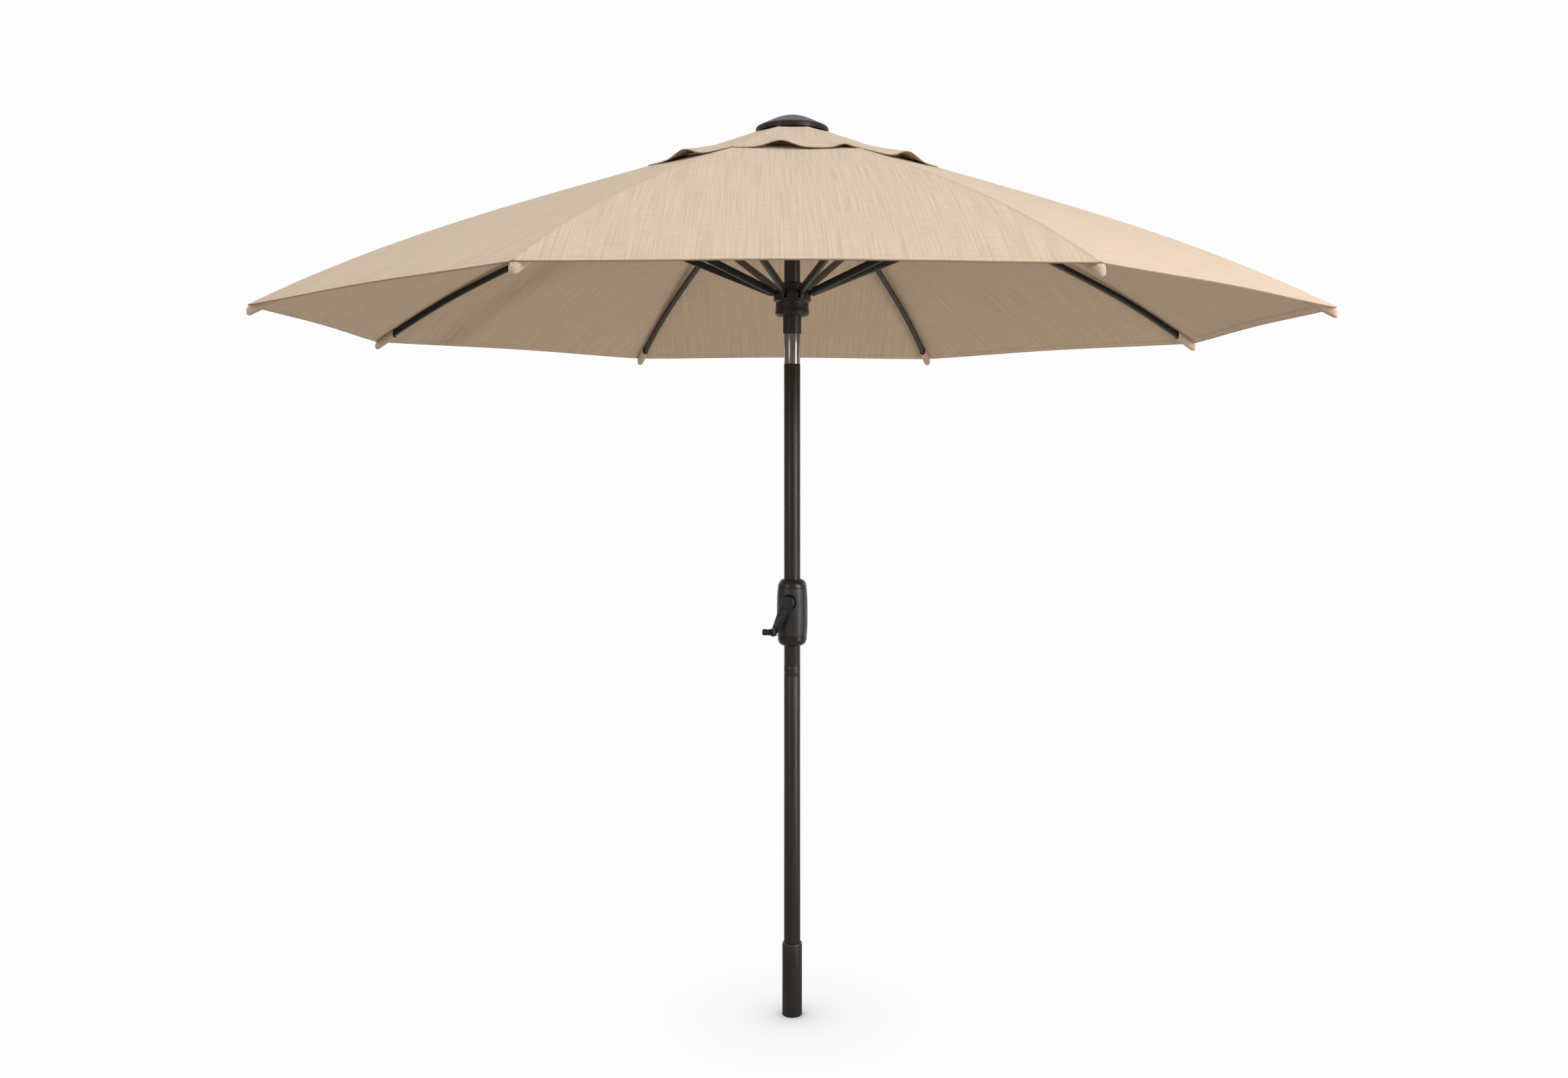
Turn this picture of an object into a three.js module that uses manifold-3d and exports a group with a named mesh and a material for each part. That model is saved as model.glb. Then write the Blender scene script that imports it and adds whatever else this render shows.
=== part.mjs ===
// A crank-lift patio umbrella on a centre pole, without a base: millimetres, +Z up, mast axis on Z,
// floor at Z = 0, and one canopy panel facing -Y. The canopy is parted at mid-panel, so that each
// part belongs to the rib that carries it.
import * as THREE from "three";
import { mergeVertices } from "three/addons/utils/BufferGeometryUtils.js";
import Module from "manifold-3d";

// ---- Driving dimensions ----
const POLE_RADIUS = 24;
const POLE_WALL = 2;
const FIT_GAP = 0.3;
const SLIDE_GAP = 0.6;
const ROUND_STEPS = 20;
const ROD_STEPS = 14;

const FOOT_SLEEVE_WALL = 4.7;
const FOOT_SLEEVE_TOP = 212;
const FOOT_PLUG_FLANGE = 4;
const FOOT_PLUG_DEPTH = 30;
const LOWER_POLE_TOP = 995;
const JOINER_RING_HEIGHT = 29;
const JOINER_DEPTH = 90;
const JOINER_WALL = 2.5;
const POLISHED_STEP = 0.7;
const POLISHED_SHOWN = 89;
const POLISHED_LENGTH = 153;
const MAST_STEP = 0.5;
const MAST_JOINER_DEPTH = 57;

const HOUSING_RISE = 59;
const HOUSING_HEIGHT = 193.5;
const HOUSING_ROOM = 21;
const HOUSING_WALL = 3.2;
const HOUSING_CAP_HEIGHT = 25;
const HOUSING_GROOVE = 0.9;

const CRANK_HEIGHT = 130.5;
const CRANK_TURN = -13.5;
const BEARING_RADIUS = 23.5;
const BEARING_PROUD = 5;
const BEARING_DEPTH = 13;
const SHAFT_RADIUS = 6;
const SPOOL_FLANGE_RADIUS = 14;
const SPOOL_DRUM_RADIUS = 10;
const SPOOL_WIDTH = 9;
const CRANK_ARM_LENGTH = 94;
const CRANK_ARM_ANGLE = 25;
const CRANK_ARM_THICKNESS = 12;
const CRANK_ARM_CLEARANCE = 3;
const CRANK_BOSS_RADIUS = 18.8;
const CRANK_TIP_RADIUS = 9;
const CRANK_CAP_THICKNESS = 7;
const KNOB_RADIUS = 9.3;
const KNOB_LENGTH = 24;
const KNOB_STEM_RADIUS = 7;
const KNOB_EAR_THICKNESS = 3;
const KNOB_PIN_RADIUS = 2.5;
const KNOB_PIN_HEAD = 1.5;
const KNOB_CLEARANCE = 1.5;
const KNOB_SPINDLE_RADIUS = 3;
const CORD_WINDOW_WIDTH = 8;
const CORD_WINDOW_HEIGHT = 24;
const CORD_WINDOW_RISE = 14;

const RIB_COUNT = 8;
const HINGE_ROOM = 26;
const CROWN_HINGE_Z = 2555;
const RUNNER_STOP_GAP = 7.5;
const CLOSED_ANGLE = 86.5;
const WIRE_RADIUS = 2;
const WIRE_GAP = 0.6;
const EYE_THICKNESS = 6;
const EYE_RADIUS = 8.5;
const EYE_HEADROOM = 3;
const EYE_FLOOR = 2;
const SLOT_WIDTH = 7.2;
const SLOT_LENGTH = 60;

const RUNNER_SLEEVE_WALL = 2.6;
const RUNNER_SLEEVE_DROP = 116;
const RUNNER_RIM_STEP = 0.6;
const RUNNER_FLANGE_PROUD = 5.3;
const RUNNER_COLLAR_WALL = 7.5;
const RUNNER_BODY_DROP = 64;
const RUNNER_FLANGE_DROP = 14;
const RUNNER_FLANGE_THICKNESS = 6;
const RUNNER_TEETH_RISE = 9;
const RUNNER_COLLAR_RISE = 34;
const HUB_PROUD = 11;
const HUB_DROP = 11;
const HUB_TOP_THICKNESS = 7;

const RIB_WIDTH = 14;
const RIB_HEIGHT = 18;
const RIB_WALL = 1.6;
const RIB_STATIONS = 8;
const RIB_FABRIC_GAP = 4;
const RIB_LEVEL_RADIUS = 1200;
const RIB_END_INSET = 18;
const BRACKET_RADIUS = 10;
const BRACKET_DROP = 35;
const TUBE_EYE_GAP = 4;
const STRUT_TUBE_START = 18;
const STRUT_WIDTH = 14;
const STRUT_HEIGHT = 20;
const STRUT_WALL = 1.6;
const RIVET_RADIUS = 3;
const FORK_DEPTH = 13;

const CORNER_RADIUS = 1483;
const CANOPY_FALL = 559;
const FINIAL_RADIUS = 107;
const CROWN_TO_SEAM = 22;
const SEAM_ARCH = 32;
const FABRIC_THICKNESS = 2;
const MID_PANEL_GAP = 0.4;
const PANEL_INNER_RADIUS = 330;
const VENT_RADIUS = 440;
const VENT_INNER_RADIUS = 24;
const VENT_LIFT = 5;
const VENT_WAVE = 22;
const FINIAL_HEIGHT = 53;
const FINIAL_WALL = 3;
const FINIAL_GAP = 2;
const STUD_PLUG_DEPTH = 28;
const STUD_PLATE_THICKNESS = 2.5;
const STUD_TOP_DROP = 12;
const STUD_RADIUS = 6;
const PULLEY_RADIUS = 15;
const PULLEY_WIDTH = 9;
const PULLEY_DROP = 55;
const PULLEY_PIN_RADIUS = 3;

// ---- Derived places ----
const HALF_PANEL = Math.PI / RIB_COUNT;
const POLE_BORE = POLE_RADIUS - POLE_WALL;
const FOOT_SLEEVE_RADIUS = POLE_RADIUS + FIT_GAP + FOOT_SLEEVE_WALL;
const JOINER_RADIUS = POLE_BORE - FIT_GAP;
const POLISHED_RADIUS = POLE_RADIUS - POLISHED_STEP;
const MAST_RADIUS = POLE_RADIUS - MAST_STEP;
const MAST_BORE = MAST_RADIUS - POLE_WALL;
const MAST_JOINER_RADIUS = Math.min(MAST_BORE, POLISHED_RADIUS - POLE_WALL) - FIT_GAP;
const UPPER_POLE_BOTTOM = LOWER_POLE_TOP + JOINER_RING_HEIGHT;
const HOUSING_BOTTOM = UPPER_POLE_BOTTOM + HOUSING_RISE;
const HOUSING_TOP = HOUSING_BOTTOM + HOUSING_HEIGHT;
const HOUSING_RADIUS = POLE_RADIUS + HOUSING_ROOM;
const HOUSING_BORE = POLE_RADIUS + FIT_GAP;
const CRANK_Z = HOUSING_BOTTOM + CRANK_HEIGHT;
const BEARING_FRONT = HOUSING_RADIUS + BEARING_PROUD;
const BEARING_BACK = BEARING_FRONT - BEARING_DEPTH;
const ARM_BACK = BEARING_FRONT + CRANK_ARM_CLEARANCE;
const ARM_FRONT = ARM_BACK + CRANK_ARM_THICKNESS;
const KNOB_Y = ARM_FRONT + KNOB_RADIUS + KNOB_CLEARANCE;
const KNOB_X = -CRANK_ARM_LENGTH * Math.sin(THREE.MathUtils.degToRad(CRANK_ARM_ANGLE));
const KNOB_Z = CRANK_Z - CRANK_ARM_LENGTH * Math.cos(THREE.MathUtils.degToRad(CRANK_ARM_ANGLE));
const HINGE_RADIUS = POLE_RADIUS + HINGE_ROOM;
const SEAM_TOP_Z = CROWN_HINGE_Z + CROWN_TO_SEAM;
const CORNER_Z = SEAM_TOP_Z - CANOPY_FALL;
const RIB_SEAM_GAP = RIB_HEIGHT / 2 + FABRIC_THICKNESS + RIB_FABRIC_GAP;
// Crown hinge to bracket rivet, and bracket rivet to runner hinge, are equally long. The two hinge
// circles are equal too, so the runner moves straight up and down as a rib turns.
const LOWEST_HINGE_Z = HOUSING_TOP + RUNNER_STOP_GAP + RUNNER_SLEEVE_DROP;
const LINK_LENGTH =
  (CROWN_HINGE_Z - LOWEST_HINGE_Z) / (2 * Math.sin(THREE.MathUtils.degToRad(CLOSED_ANGLE)));
const OPEN_ANGLE = openAngle();
const RIVET_RHO = HINGE_RADIUS + LINK_LENGTH * Math.cos(OPEN_ANGLE);
const RIVET_Z = CROWN_HINGE_Z - LINK_LENGTH * Math.sin(OPEN_ANGLE);
const RUNNER_HINGE_Z = CROWN_HINGE_Z - 2 * LINK_LENGTH * Math.sin(OPEN_ANGLE);
const SLEEVE_BOTTOM = RUNNER_HINGE_Z - RUNNER_SLEEVE_DROP;
const UPPER_POLE_TOP = SLEEVE_BOTTOM - POLISHED_SHOWN;
const POLISHED_TOP = UPPER_POLE_TOP + POLISHED_LENGTH;
const WIRE_HOLE = WIRE_RADIUS + WIRE_GAP;
const RUNNER_BORE = POLE_RADIUS + SLIDE_GAP;
const SLEEVE_RADIUS = RUNNER_BORE + RUNNER_SLEEVE_WALL;
const RUNNER_RIM_RADIUS = HINGE_RADIUS - RUNNER_RIM_STEP;
const RUNNER_FLANGE_RADIUS = HINGE_RADIUS + RUNNER_FLANGE_PROUD;
const RUNNER_COLLAR_RADIUS = SLEEVE_RADIUS + FIT_GAP + RUNNER_COLLAR_WALL;
const HUB_RADIUS = HINGE_RADIUS + HUB_PROUD;
const RUNNER_BOTTOM = RUNNER_HINGE_Z - RUNNER_BODY_DROP;
const FLANGE_TOP = RUNNER_HINGE_Z - RUNNER_FLANGE_DROP;
const TEETH_TOP = RUNNER_HINGE_Z + RUNNER_TEETH_RISE;
const COLLAR_TOP = RUNNER_HINGE_Z + RUNNER_COLLAR_RISE;
const HUB_BOTTOM = CROWN_HINGE_Z - HUB_DROP;
const SLOT_TOP = CROWN_HINGE_Z + EYE_RADIUS + EYE_HEADROOM;
const HUB_TOP = SLOT_TOP + HUB_TOP_THICKNESS;
const VENT_TOP_Z = SEAM_TOP_Z + VENT_LIFT;
const FINIAL_BOTTOM = VENT_TOP_Z + FINIAL_GAP;
const FINIAL_TOP = FINIAL_BOTTOM + FINIAL_HEIGHT;
const RIB_END_RHO = CORNER_RADIUS - RIB_END_INSET;

// ---- Materials ----
const bronze = new THREE.MeshStandardMaterial({ color: 0x2b2725, roughness: 0.38, metalness: 0.6 });
const polished = new THREE.MeshStandardMaterial({ color: 0x9a9290, roughness: 0.15, metalness: 1 });
const steel = new THREE.MeshStandardMaterial({ color: 0x8d8d8f, roughness: 0.35, metalness: 1 });
const blackPlastic = new THREE.MeshStandardMaterial({ color: 0x1d1c1c, roughness: 0.5 });
const housingPlastic = new THREE.MeshStandardMaterial({ color: 0x2c2b2c, roughness: 0.42 });
const fabric = new THREE.MeshStandardMaterial({ color: 0xd8c5a8, roughness: 0.95 });

// ---- Solids and booleans ----
const wasm = await Module();
wasm.setup();

function toSolid(geometry) {
  const bare = geometry.clone();
  bare.deleteAttribute("normal");
  bare.deleteAttribute("uv");
  const merged = mergeVertices(bare, 1e-3);
  const vertProperties = new Float32Array(merged.attributes.position.array);
  const triVerts = new Uint32Array(merged.index.array);
  return new wasm.Manifold(new wasm.Mesh({ numProp: 3, vertProperties, triVerts }));
}

function toGeometry(solid) {
  const { vertProperties, triVerts } = solid.getMesh();
  const geometry = new THREE.BufferGeometry();
  geometry.setAttribute("position", new THREE.BufferAttribute(vertProperties, 3));
  geometry.setIndex(new THREE.BufferAttribute(triVerts, 1));
  geometry.computeVertexNormals();
  return geometry;
}

function cut(geometry, ...tools) {
  const start = toSolid(geometry);
  return toGeometry(tools.reduce((solid, tool) => solid.subtract(toSolid(tool)), start));
}

function join(geometry, ...others) {
  const start = toSolid(geometry);
  return toGeometry(others.reduce((solid, other) => solid.add(toSolid(other)), start));
}

const group = new THREE.Group();

function addPiece(name, geometry, material, parent = group) {
  const mesh = new THREE.Mesh(geometry, material);
  mesh.name = name;
  parent.add(mesh);
  return mesh;
}

// A solid of revolution about Z from [radius, z] points. The outline runs up the outside. A solid's
// outline starts and ends on the axis; a ring's is closed here.
function turned(points, steps = ROUND_STEPS) {
  const outline = points.map(([radius, z]) => new THREE.Vector2(radius, z));
  const onAxis = points[0][0] === 0;
  if (!onAxis) outline.push(outline[0].clone());
  return new THREE.LatheGeometry(outline, steps).rotateX(Math.PI / 2);
}

function tube(outer, inner, bottom, top, steps = ROUND_STEPS) {
  return turned([[inner, bottom], [outer, bottom], [outer, top], [inner, top]], steps);
}

function rod(radius, bottom, top, steps = ROD_STEPS) {
  return turned([[0, bottom], [radius, bottom], [radius, top], [0, top]], steps);
}

// Turns a shape that stands on Z so that it points forward, along -Y, from the mast axis.
function forward(geometry, z = CRANK_Z) {
  return geometry.rotateX(Math.PI / 2).translate(0, 0, z);
}

// A flat plate in the upright plane of a rib: an outline in (distance from the mast, height).
function uprightPlate(outline, holes, thickness) {
  const shape = new THREE.Shape(outline);
  holes.forEach(({ x, y, radius }) => {
    shape.holes.push(new THREE.Path(circlePoints(x, y, radius, 2 * Math.PI, 0, ROD_STEPS)));
  });
  const plate = new THREE.ExtrudeGeometry(shape, { depth: thickness, bevelEnabled: false });
  return plate.translate(0, 0, -thickness / 2).rotateX(Math.PI / 2);
}

function circlePoints(x, y, radius, from, to, steps) {
  return Array.from({ length: steps + 1 }, (_, i) => {
    const angle = from + ((to - from) * i) / steps;
    return new THREE.Vector2(x + radius * Math.cos(angle), y + radius * Math.sin(angle));
  });
}

// ---- Canopy form ----
// Height of the cover's seam at a distance from the mast: a straight fall from the finial's edge to
// the corner, with an arch that is fullest two thirds of the way out.
function seamHeight(rho) {
  const t = (rho - FINIAL_RADIUS) / (CORNER_RADIUS - FINIAL_RADIUS);
  const arch = 6.75 * SEAM_ARCH * t * t * (1 - t);
  return SEAM_TOP_Z - (SEAM_TOP_Z - CORNER_Z) * t + arch;
}

function ribHeight(rho) {
  const drop = seamHeight(HINGE_RADIUS) - RIB_SEAM_GAP - CROWN_HINGE_Z;
  const share = Math.max(0, (RIB_LEVEL_RADIUS - rho) / (RIB_LEVEL_RADIUS - HINGE_RADIUS));
  return seamHeight(rho) - RIB_SEAM_GAP - drop * share;
}

// The links' slope when open, which puts the rivet the bracket's drop below the rib's middle line.
function openAngle() {
  let angle = 0.4;
  for (let turn = 0; turn < 40; turn += 1) {
    const rho = HINGE_RADIUS + LINK_LENGTH * Math.cos(angle);
    angle = Math.asin((CROWN_HINGE_Z - ribHeight(rho) + BRACKET_DROP) / LINK_LENGTH);
  }
  return angle;
}

function ventHeight(rho) {
  return rho < FINIAL_RADIUS ? VENT_TOP_Z : seamHeight(rho) + VENT_LIFT;
}

// ---- Pole ----
function addPole() {
  const shoulder = circlePoints(FOOT_SLEEVE_RADIUS - 4, FOOT_SLEEVE_TOP - 4, 4, 0, Math.PI / 2, 3);
  const bore = POLE_RADIUS + FIT_GAP;
  const sleeve = [[bore, 0], [FOOT_SLEEVE_RADIUS - 1.5, 0], [FOOT_SLEEVE_RADIUS, 2]];
  shoulder.forEach((point) => sleeve.push([point.x, point.y]));
  sleeve.push([bore, FOOT_SLEEVE_TOP]);
  addPiece("foot_sleeve", turned(sleeve), bronze);

  const plug = [
    [0, 0],
    [POLE_RADIUS - FIT_GAP, 0],
    [POLE_RADIUS - FIT_GAP, FOOT_PLUG_FLANGE],
    [POLE_BORE - FIT_GAP, FOOT_PLUG_FLANGE],
    [POLE_BORE - FIT_GAP, FOOT_PLUG_DEPTH],
    [0, FOOT_PLUG_DEPTH],
  ];
  addPiece("foot_plug", turned(plug), blackPlastic);
  const poleBottom = FOOT_PLUG_FLANGE + FIT_GAP;
  addPiece("lower_pole", tube(POLE_RADIUS, POLE_BORE, poleBottom, LOWER_POLE_TOP), bronze);

  const ringBottom = LOWER_POLE_TOP + FIT_GAP;
  const ringTop = UPPER_POLE_BOTTOM - FIT_GAP;
  const joinerBore = JOINER_RADIUS - JOINER_WALL;
  const joiner = [
    [joinerBore, ringBottom - JOINER_DEPTH],
    [JOINER_RADIUS, ringBottom - JOINER_DEPTH],
    [JOINER_RADIUS, ringBottom],
    [POLE_RADIUS, ringBottom],
    [POLE_RADIUS, ringTop],
    [JOINER_RADIUS, ringTop],
    [JOINER_RADIUS, ringTop + JOINER_DEPTH],
    [joinerBore, ringTop + JOINER_DEPTH],
  ];
  addPiece("pole_joiner", turned(joiner), bronze);

  const pole = tube(POLE_RADIUS, POLE_BORE, UPPER_POLE_BOTTOM, UPPER_POLE_TOP);
  const cordWindow = new THREE.BoxGeometry(CORD_WINDOW_WIDTH, POLE_RADIUS, CORD_WINDOW_HEIGHT);
  cordWindow.translate(0, -POLE_RADIUS, CRANK_Z + SPOOL_FLANGE_RADIUS + CORD_WINDOW_RISE);
  cordWindow.rotateZ(THREE.MathUtils.degToRad(CRANK_TURN));
  addPiece("upper_pole", cut(pole, cordWindow), bronze);

  const bright = tube(
    POLISHED_RADIUS,
    POLISHED_RADIUS - POLE_WALL,
    UPPER_POLE_TOP + FIT_GAP,
    POLISHED_TOP,
  );
  addPiece("polished_mast_section", bright, polished);
  const joinerBottom = UPPER_POLE_TOP - MAST_JOINER_DEPTH;
  const joinerTop = POLISHED_TOP + MAST_JOINER_DEPTH;
  const mastJoinerBore = MAST_JOINER_RADIUS - JOINER_WALL;
  const mastJoiner = tube(MAST_JOINER_RADIUS, mastJoinerBore, joinerBottom, joinerTop);
  addPiece("mast_joiner", mastJoiner, steel);

  const mast = tube(MAST_RADIUS, MAST_BORE, POLISHED_TOP + FIT_GAP, HUB_TOP);
  const pinHole = rod(PULLEY_PIN_RADIUS + FIT_GAP, -MAST_RADIUS - 5, MAST_RADIUS + 5, 16);
  pinHole.rotateX(Math.PI / 2).translate(0, 0, HUB_TOP - PULLEY_DROP);
  addPiece("mast_top_tube", cut(mast, pinHole), bronze);
}

// ---- Crank housing ----
function addHousing() {
  const outer = HOUSING_RADIUS;
  const wall = HOUSING_WALL;
  const bodyBottom = HOUSING_BOTTOM + HOUSING_CAP_HEIGHT + 3;
  const bodyTop = HOUSING_TOP - HOUSING_CAP_HEIGHT;
  const body = [
    [outer - 2.2 - wall, bodyBottom],
    [outer - 2.2, bodyBottom],
    [outer - 0.7, bodyBottom + 30],
    [outer, CRANK_Z],
    [outer - 0.4, bodyTop - 16],
    [outer - 1.1, bodyTop],
    [outer - 1.1 - wall, bodyTop],
    [outer - wall, CRANK_Z],
  ];
  const socket = forward(rod(BEARING_RADIUS + FIT_GAP, POLE_RADIUS, HOUSING_RADIUS + 5, 20));
  const crankSide = new THREE.Group();
  crankSide.rotation.z = THREE.MathUtils.degToRad(CRANK_TURN);
  group.add(crankSide);
  addPiece("crank_housing", cut(turned(body), socket), housingPlastic, crankSide);

  const capBottom = bodyTop + FIT_GAP;
  const rise = HOUSING_TOP - capBottom;
  const domeInner = HOUSING_BORE + 4;
  const dome = circlePoints(0, 0, 1, 0, Math.PI / 2, 4).map((point) => [
    domeInner + (outer - 1.3 - domeInner) * point.x,
    capBottom + rise * Math.pow(point.y, 1.15),
  ]);
  const inside = dome.map(([radius, z]) => [Math.max(HOUSING_BORE, radius - wall), z - wall]);
  inside[0][1] = capBottom;
  const top = [...dome, [HOUSING_BORE, HOUSING_TOP], ...inside.reverse()];
  addPiece("housing_top_cap", turned(top), housingPlastic);

  const lipTop = bodyBottom - FIT_GAP;
  const fall = lipTop - 8 - HOUSING_BOTTOM;
  const bowl = circlePoints(0, 0, 1, -Math.PI / 2, 0, 4).map((point) => [
    domeInner + (outer - 2.8 - domeInner) * point.x,
    lipTop - 8 - fall * Math.pow(-point.y, 1.15),
  ]);
  const bowlInside = bowl.map(([radius, z]) => [Math.max(HOUSING_BORE, radius - wall), z + wall]);
  bowlInside[bowl.length - 1][1] = lipTop;
  const bottom = [
    [HOUSING_BORE, HOUSING_BOTTOM],
    ...bowl,
    [outer - 2.8 - HOUSING_GROOVE, lipTop - 6.5],
    [outer - 2.5, lipTop - 5],
    [outer - 2.3, lipTop - 1.5],
    [outer - 2.3 - HOUSING_GROOVE, lipTop],
    ...bowlInside.reverse(),
  ];
  addPiece("housing_bottom_cap", turned(bottom), housingPlastic);

  const bearing = [
    [SHAFT_RADIUS + FIT_GAP, BEARING_BACK],
    [BEARING_RADIUS, BEARING_BACK],
    [BEARING_RADIUS, BEARING_FRONT - 1.5],
    [BEARING_RADIUS - 1.5, BEARING_FRONT],
    [BEARING_RADIUS - 3, BEARING_FRONT],
    [BEARING_RADIUS - 3, BEARING_FRONT - 4],
    [SHAFT_RADIUS + FIT_GAP, BEARING_FRONT - 4],
  ];
  addPiece("crank_bearing", forward(turned(bearing)), blackPlastic, crankSide);
  return crankSide;
}

// ---- Crank ----
function addCrank(crankSide) {
  const shaftBack = POLE_RADIUS + 1;
  const shaft = rod(SHAFT_RADIUS, shaftBack, ARM_FRONT - FIT_GAP);
  addPiece("crank_shaft", forward(shaft), steel, crankSide);

  const spoolBack = shaftBack + 1;
  const spoolFront = spoolBack + SPOOL_WIDTH;
  const spoolBore = SHAFT_RADIUS + FIT_GAP;
  const spool = [
    [spoolBore, spoolBack],
    [SPOOL_FLANGE_RADIUS, spoolBack],
    [SPOOL_FLANGE_RADIUS, spoolBack + 1.5],
    [SPOOL_DRUM_RADIUS, spoolBack + 2.5],
    [SPOOL_DRUM_RADIUS, spoolFront - 2.5],
    [SPOOL_FLANGE_RADIUS, spoolFront - 1.5],
    [SPOOL_FLANGE_RADIUS, spoolFront],
    [spoolBore, spoolFront],
  ];
  addPiece("cord_spool", forward(turned(spool, 16)), blackPlastic, crankSide);

  const down = -Math.PI / 2 - THREE.MathUtils.degToRad(CRANK_ARM_ANGLE);
  const taper = Math.asin((CRANK_BOSS_RADIUS - CRANK_TIP_RADIUS) / CRANK_ARM_LENGTH);
  const side = Math.PI / 2 - taper;
  const outline = [
    ...circlePoints(0, CRANK_Z, CRANK_BOSS_RADIUS, down + side, down - side + 2 * Math.PI, 12),
    ...circlePoints(KNOB_X, KNOB_Z, CRANK_TIP_RADIUS, down - side, down + side, 6),
  ];
  const bore = { x: 0, y: CRANK_Z, radius: SHAFT_RADIUS + FIT_GAP };
  const plate = uprightPlate(outline, [bore], CRANK_ARM_THICKNESS);
  plate.translate(0, -(ARM_BACK + ARM_FRONT) / 2, 0);
  const pinHole = rod(KNOB_PIN_RADIUS + FIT_GAP, KNOB_Z - 20, KNOB_Z + 20, 16);
  pinHole.translate(KNOB_X, -KNOB_Y, 0);
  const earBottoms = [KNOB_Z - KNOB_STEM_RADIUS - KNOB_EAR_THICKNESS, KNOB_Z + KNOB_STEM_RADIUS];
  const ears = earBottoms.flatMap((bottom) => {
    const round = rod(KNOB_STEM_RADIUS, bottom, bottom + KNOB_EAR_THICKNESS, 16);
    const reach = KNOB_Y - ARM_FRONT + 4;
    const web = new THREE.BoxGeometry(2 * KNOB_STEM_RADIUS, reach, KNOB_EAR_THICKNESS);
    web.translate(KNOB_X, -KNOB_Y + reach / 2, bottom + KNOB_EAR_THICKNESS / 2);
    return [round.translate(KNOB_X, -KNOB_Y, 0), web];
  });
  addPiece("crank_arm", cut(join(plate, ...ears), pinHole), blackPlastic, crankSide);

  const capBack = ARM_FRONT + FIT_GAP;
  const capFront = capBack + CRANK_CAP_THICKNESS;
  const cap = [
    [0, capBack],
    [CRANK_BOSS_RADIUS, capBack],
    [CRANK_BOSS_RADIUS, capFront - 2],
    [CRANK_BOSS_RADIUS - 2, capFront - 0.5],
    [0, capFront],
  ];
  addPiece("crank_boss_cap", forward(turned(cap, 20)), blackPlastic, crankSide);

  const head = KNOB_STEM_RADIUS + KNOB_EAR_THICKNESS + FIT_GAP;
  const pin = [
    [0, -head - 2],
    [KNOB_PIN_RADIUS + KNOB_PIN_HEAD, -head - 1],
    [KNOB_PIN_RADIUS + KNOB_PIN_HEAD, -head],
    [KNOB_PIN_RADIUS, -head],
    [KNOB_PIN_RADIUS, head],
    [KNOB_PIN_RADIUS + KNOB_PIN_HEAD, head],
    [KNOB_PIN_RADIUS + KNOB_PIN_HEAD, head + 1],
    [0, head + 2],
  ];
  const pinPlace = turned(pin, 10).translate(KNOB_X, -KNOB_Y, KNOB_Z);
  addPiece("knob_hinge_pin", pinPlace, steel, crankSide);

  const half = KNOB_STEM_RADIUS - FIT_GAP;
  const barrel = rod(KNOB_STEM_RADIUS - 0.5, -half, half, 16);
  const spindle = rod(KNOB_SPINDLE_RADIUS, 0, KNOB_STEM_RADIUS + KNOB_LENGTH - 6).rotateY(-Math.PI / 2);
  const hole = rod(KNOB_PIN_RADIUS + FIT_GAP, -20, 20, 16);
  const stem = cut(join(barrel, spindle), hole).translate(KNOB_X, -KNOB_Y, KNOB_Z);
  addPiece("knob_stem", stem, blackPlastic, crankSide);

  const start = KNOB_STEM_RADIUS + KNOB_CLEARANCE;
  const end = start + KNOB_LENGTH;
  const knobBore = KNOB_SPINDLE_RADIUS + FIT_GAP;
  const knob = [
    [0, end - 3],
    [knobBore, end - 3],
    [knobBore, start],
    [KNOB_RADIUS - 1.6, start],
    [KNOB_RADIUS - 0.9, start + 3],
    [KNOB_RADIUS - 1.9, start + 0.42 * KNOB_LENGTH],
    [KNOB_RADIUS - 0.7, start + 0.6 * KNOB_LENGTH],
    [KNOB_RADIUS, start + 0.74 * KNOB_LENGTH],
    [KNOB_RADIUS - 0.9, start + 0.88 * KNOB_LENGTH],
    [KNOB_RADIUS - 3.5, end - 0.8],
    [0, end],
  ];
  const grip = turned(knob, 16).rotateY(-Math.PI / 2).translate(KNOB_X, -KNOB_Y, KNOB_Z);
  addPiece("knob_grip", grip, blackPlastic, crankSide);
}

// ---- Runner and crown ----
// Radial slots for the hinge eyes, and a round channel for the hinge wire.
function eyeSlots(bottom, top) {
  const height = top - bottom;
  return Array.from({ length: RIB_COUNT }, (_, i) => {
    const slot = new THREE.BoxGeometry(SLOT_LENGTH, SLOT_WIDTH, height);
    slot.translate(HINGE_RADIUS - EYE_RADIUS - EYE_FLOOR + SLOT_LENGTH / 2, 0, bottom + height / 2);
    return slot.rotateZ(ribAngle(i));
  });
}

function wireRing(radius, z) {
  const section = circlePoints(HINGE_RADIUS, z, radius, 0, 2 * Math.PI, 6).slice(0, -1);
  return turned(section.map((point) => [point.x, point.y]), 24);
}

function ribAngle(index) {
  return -Math.PI / 2 + HALF_PANEL + 2 * HALF_PANEL * index;
}

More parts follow.
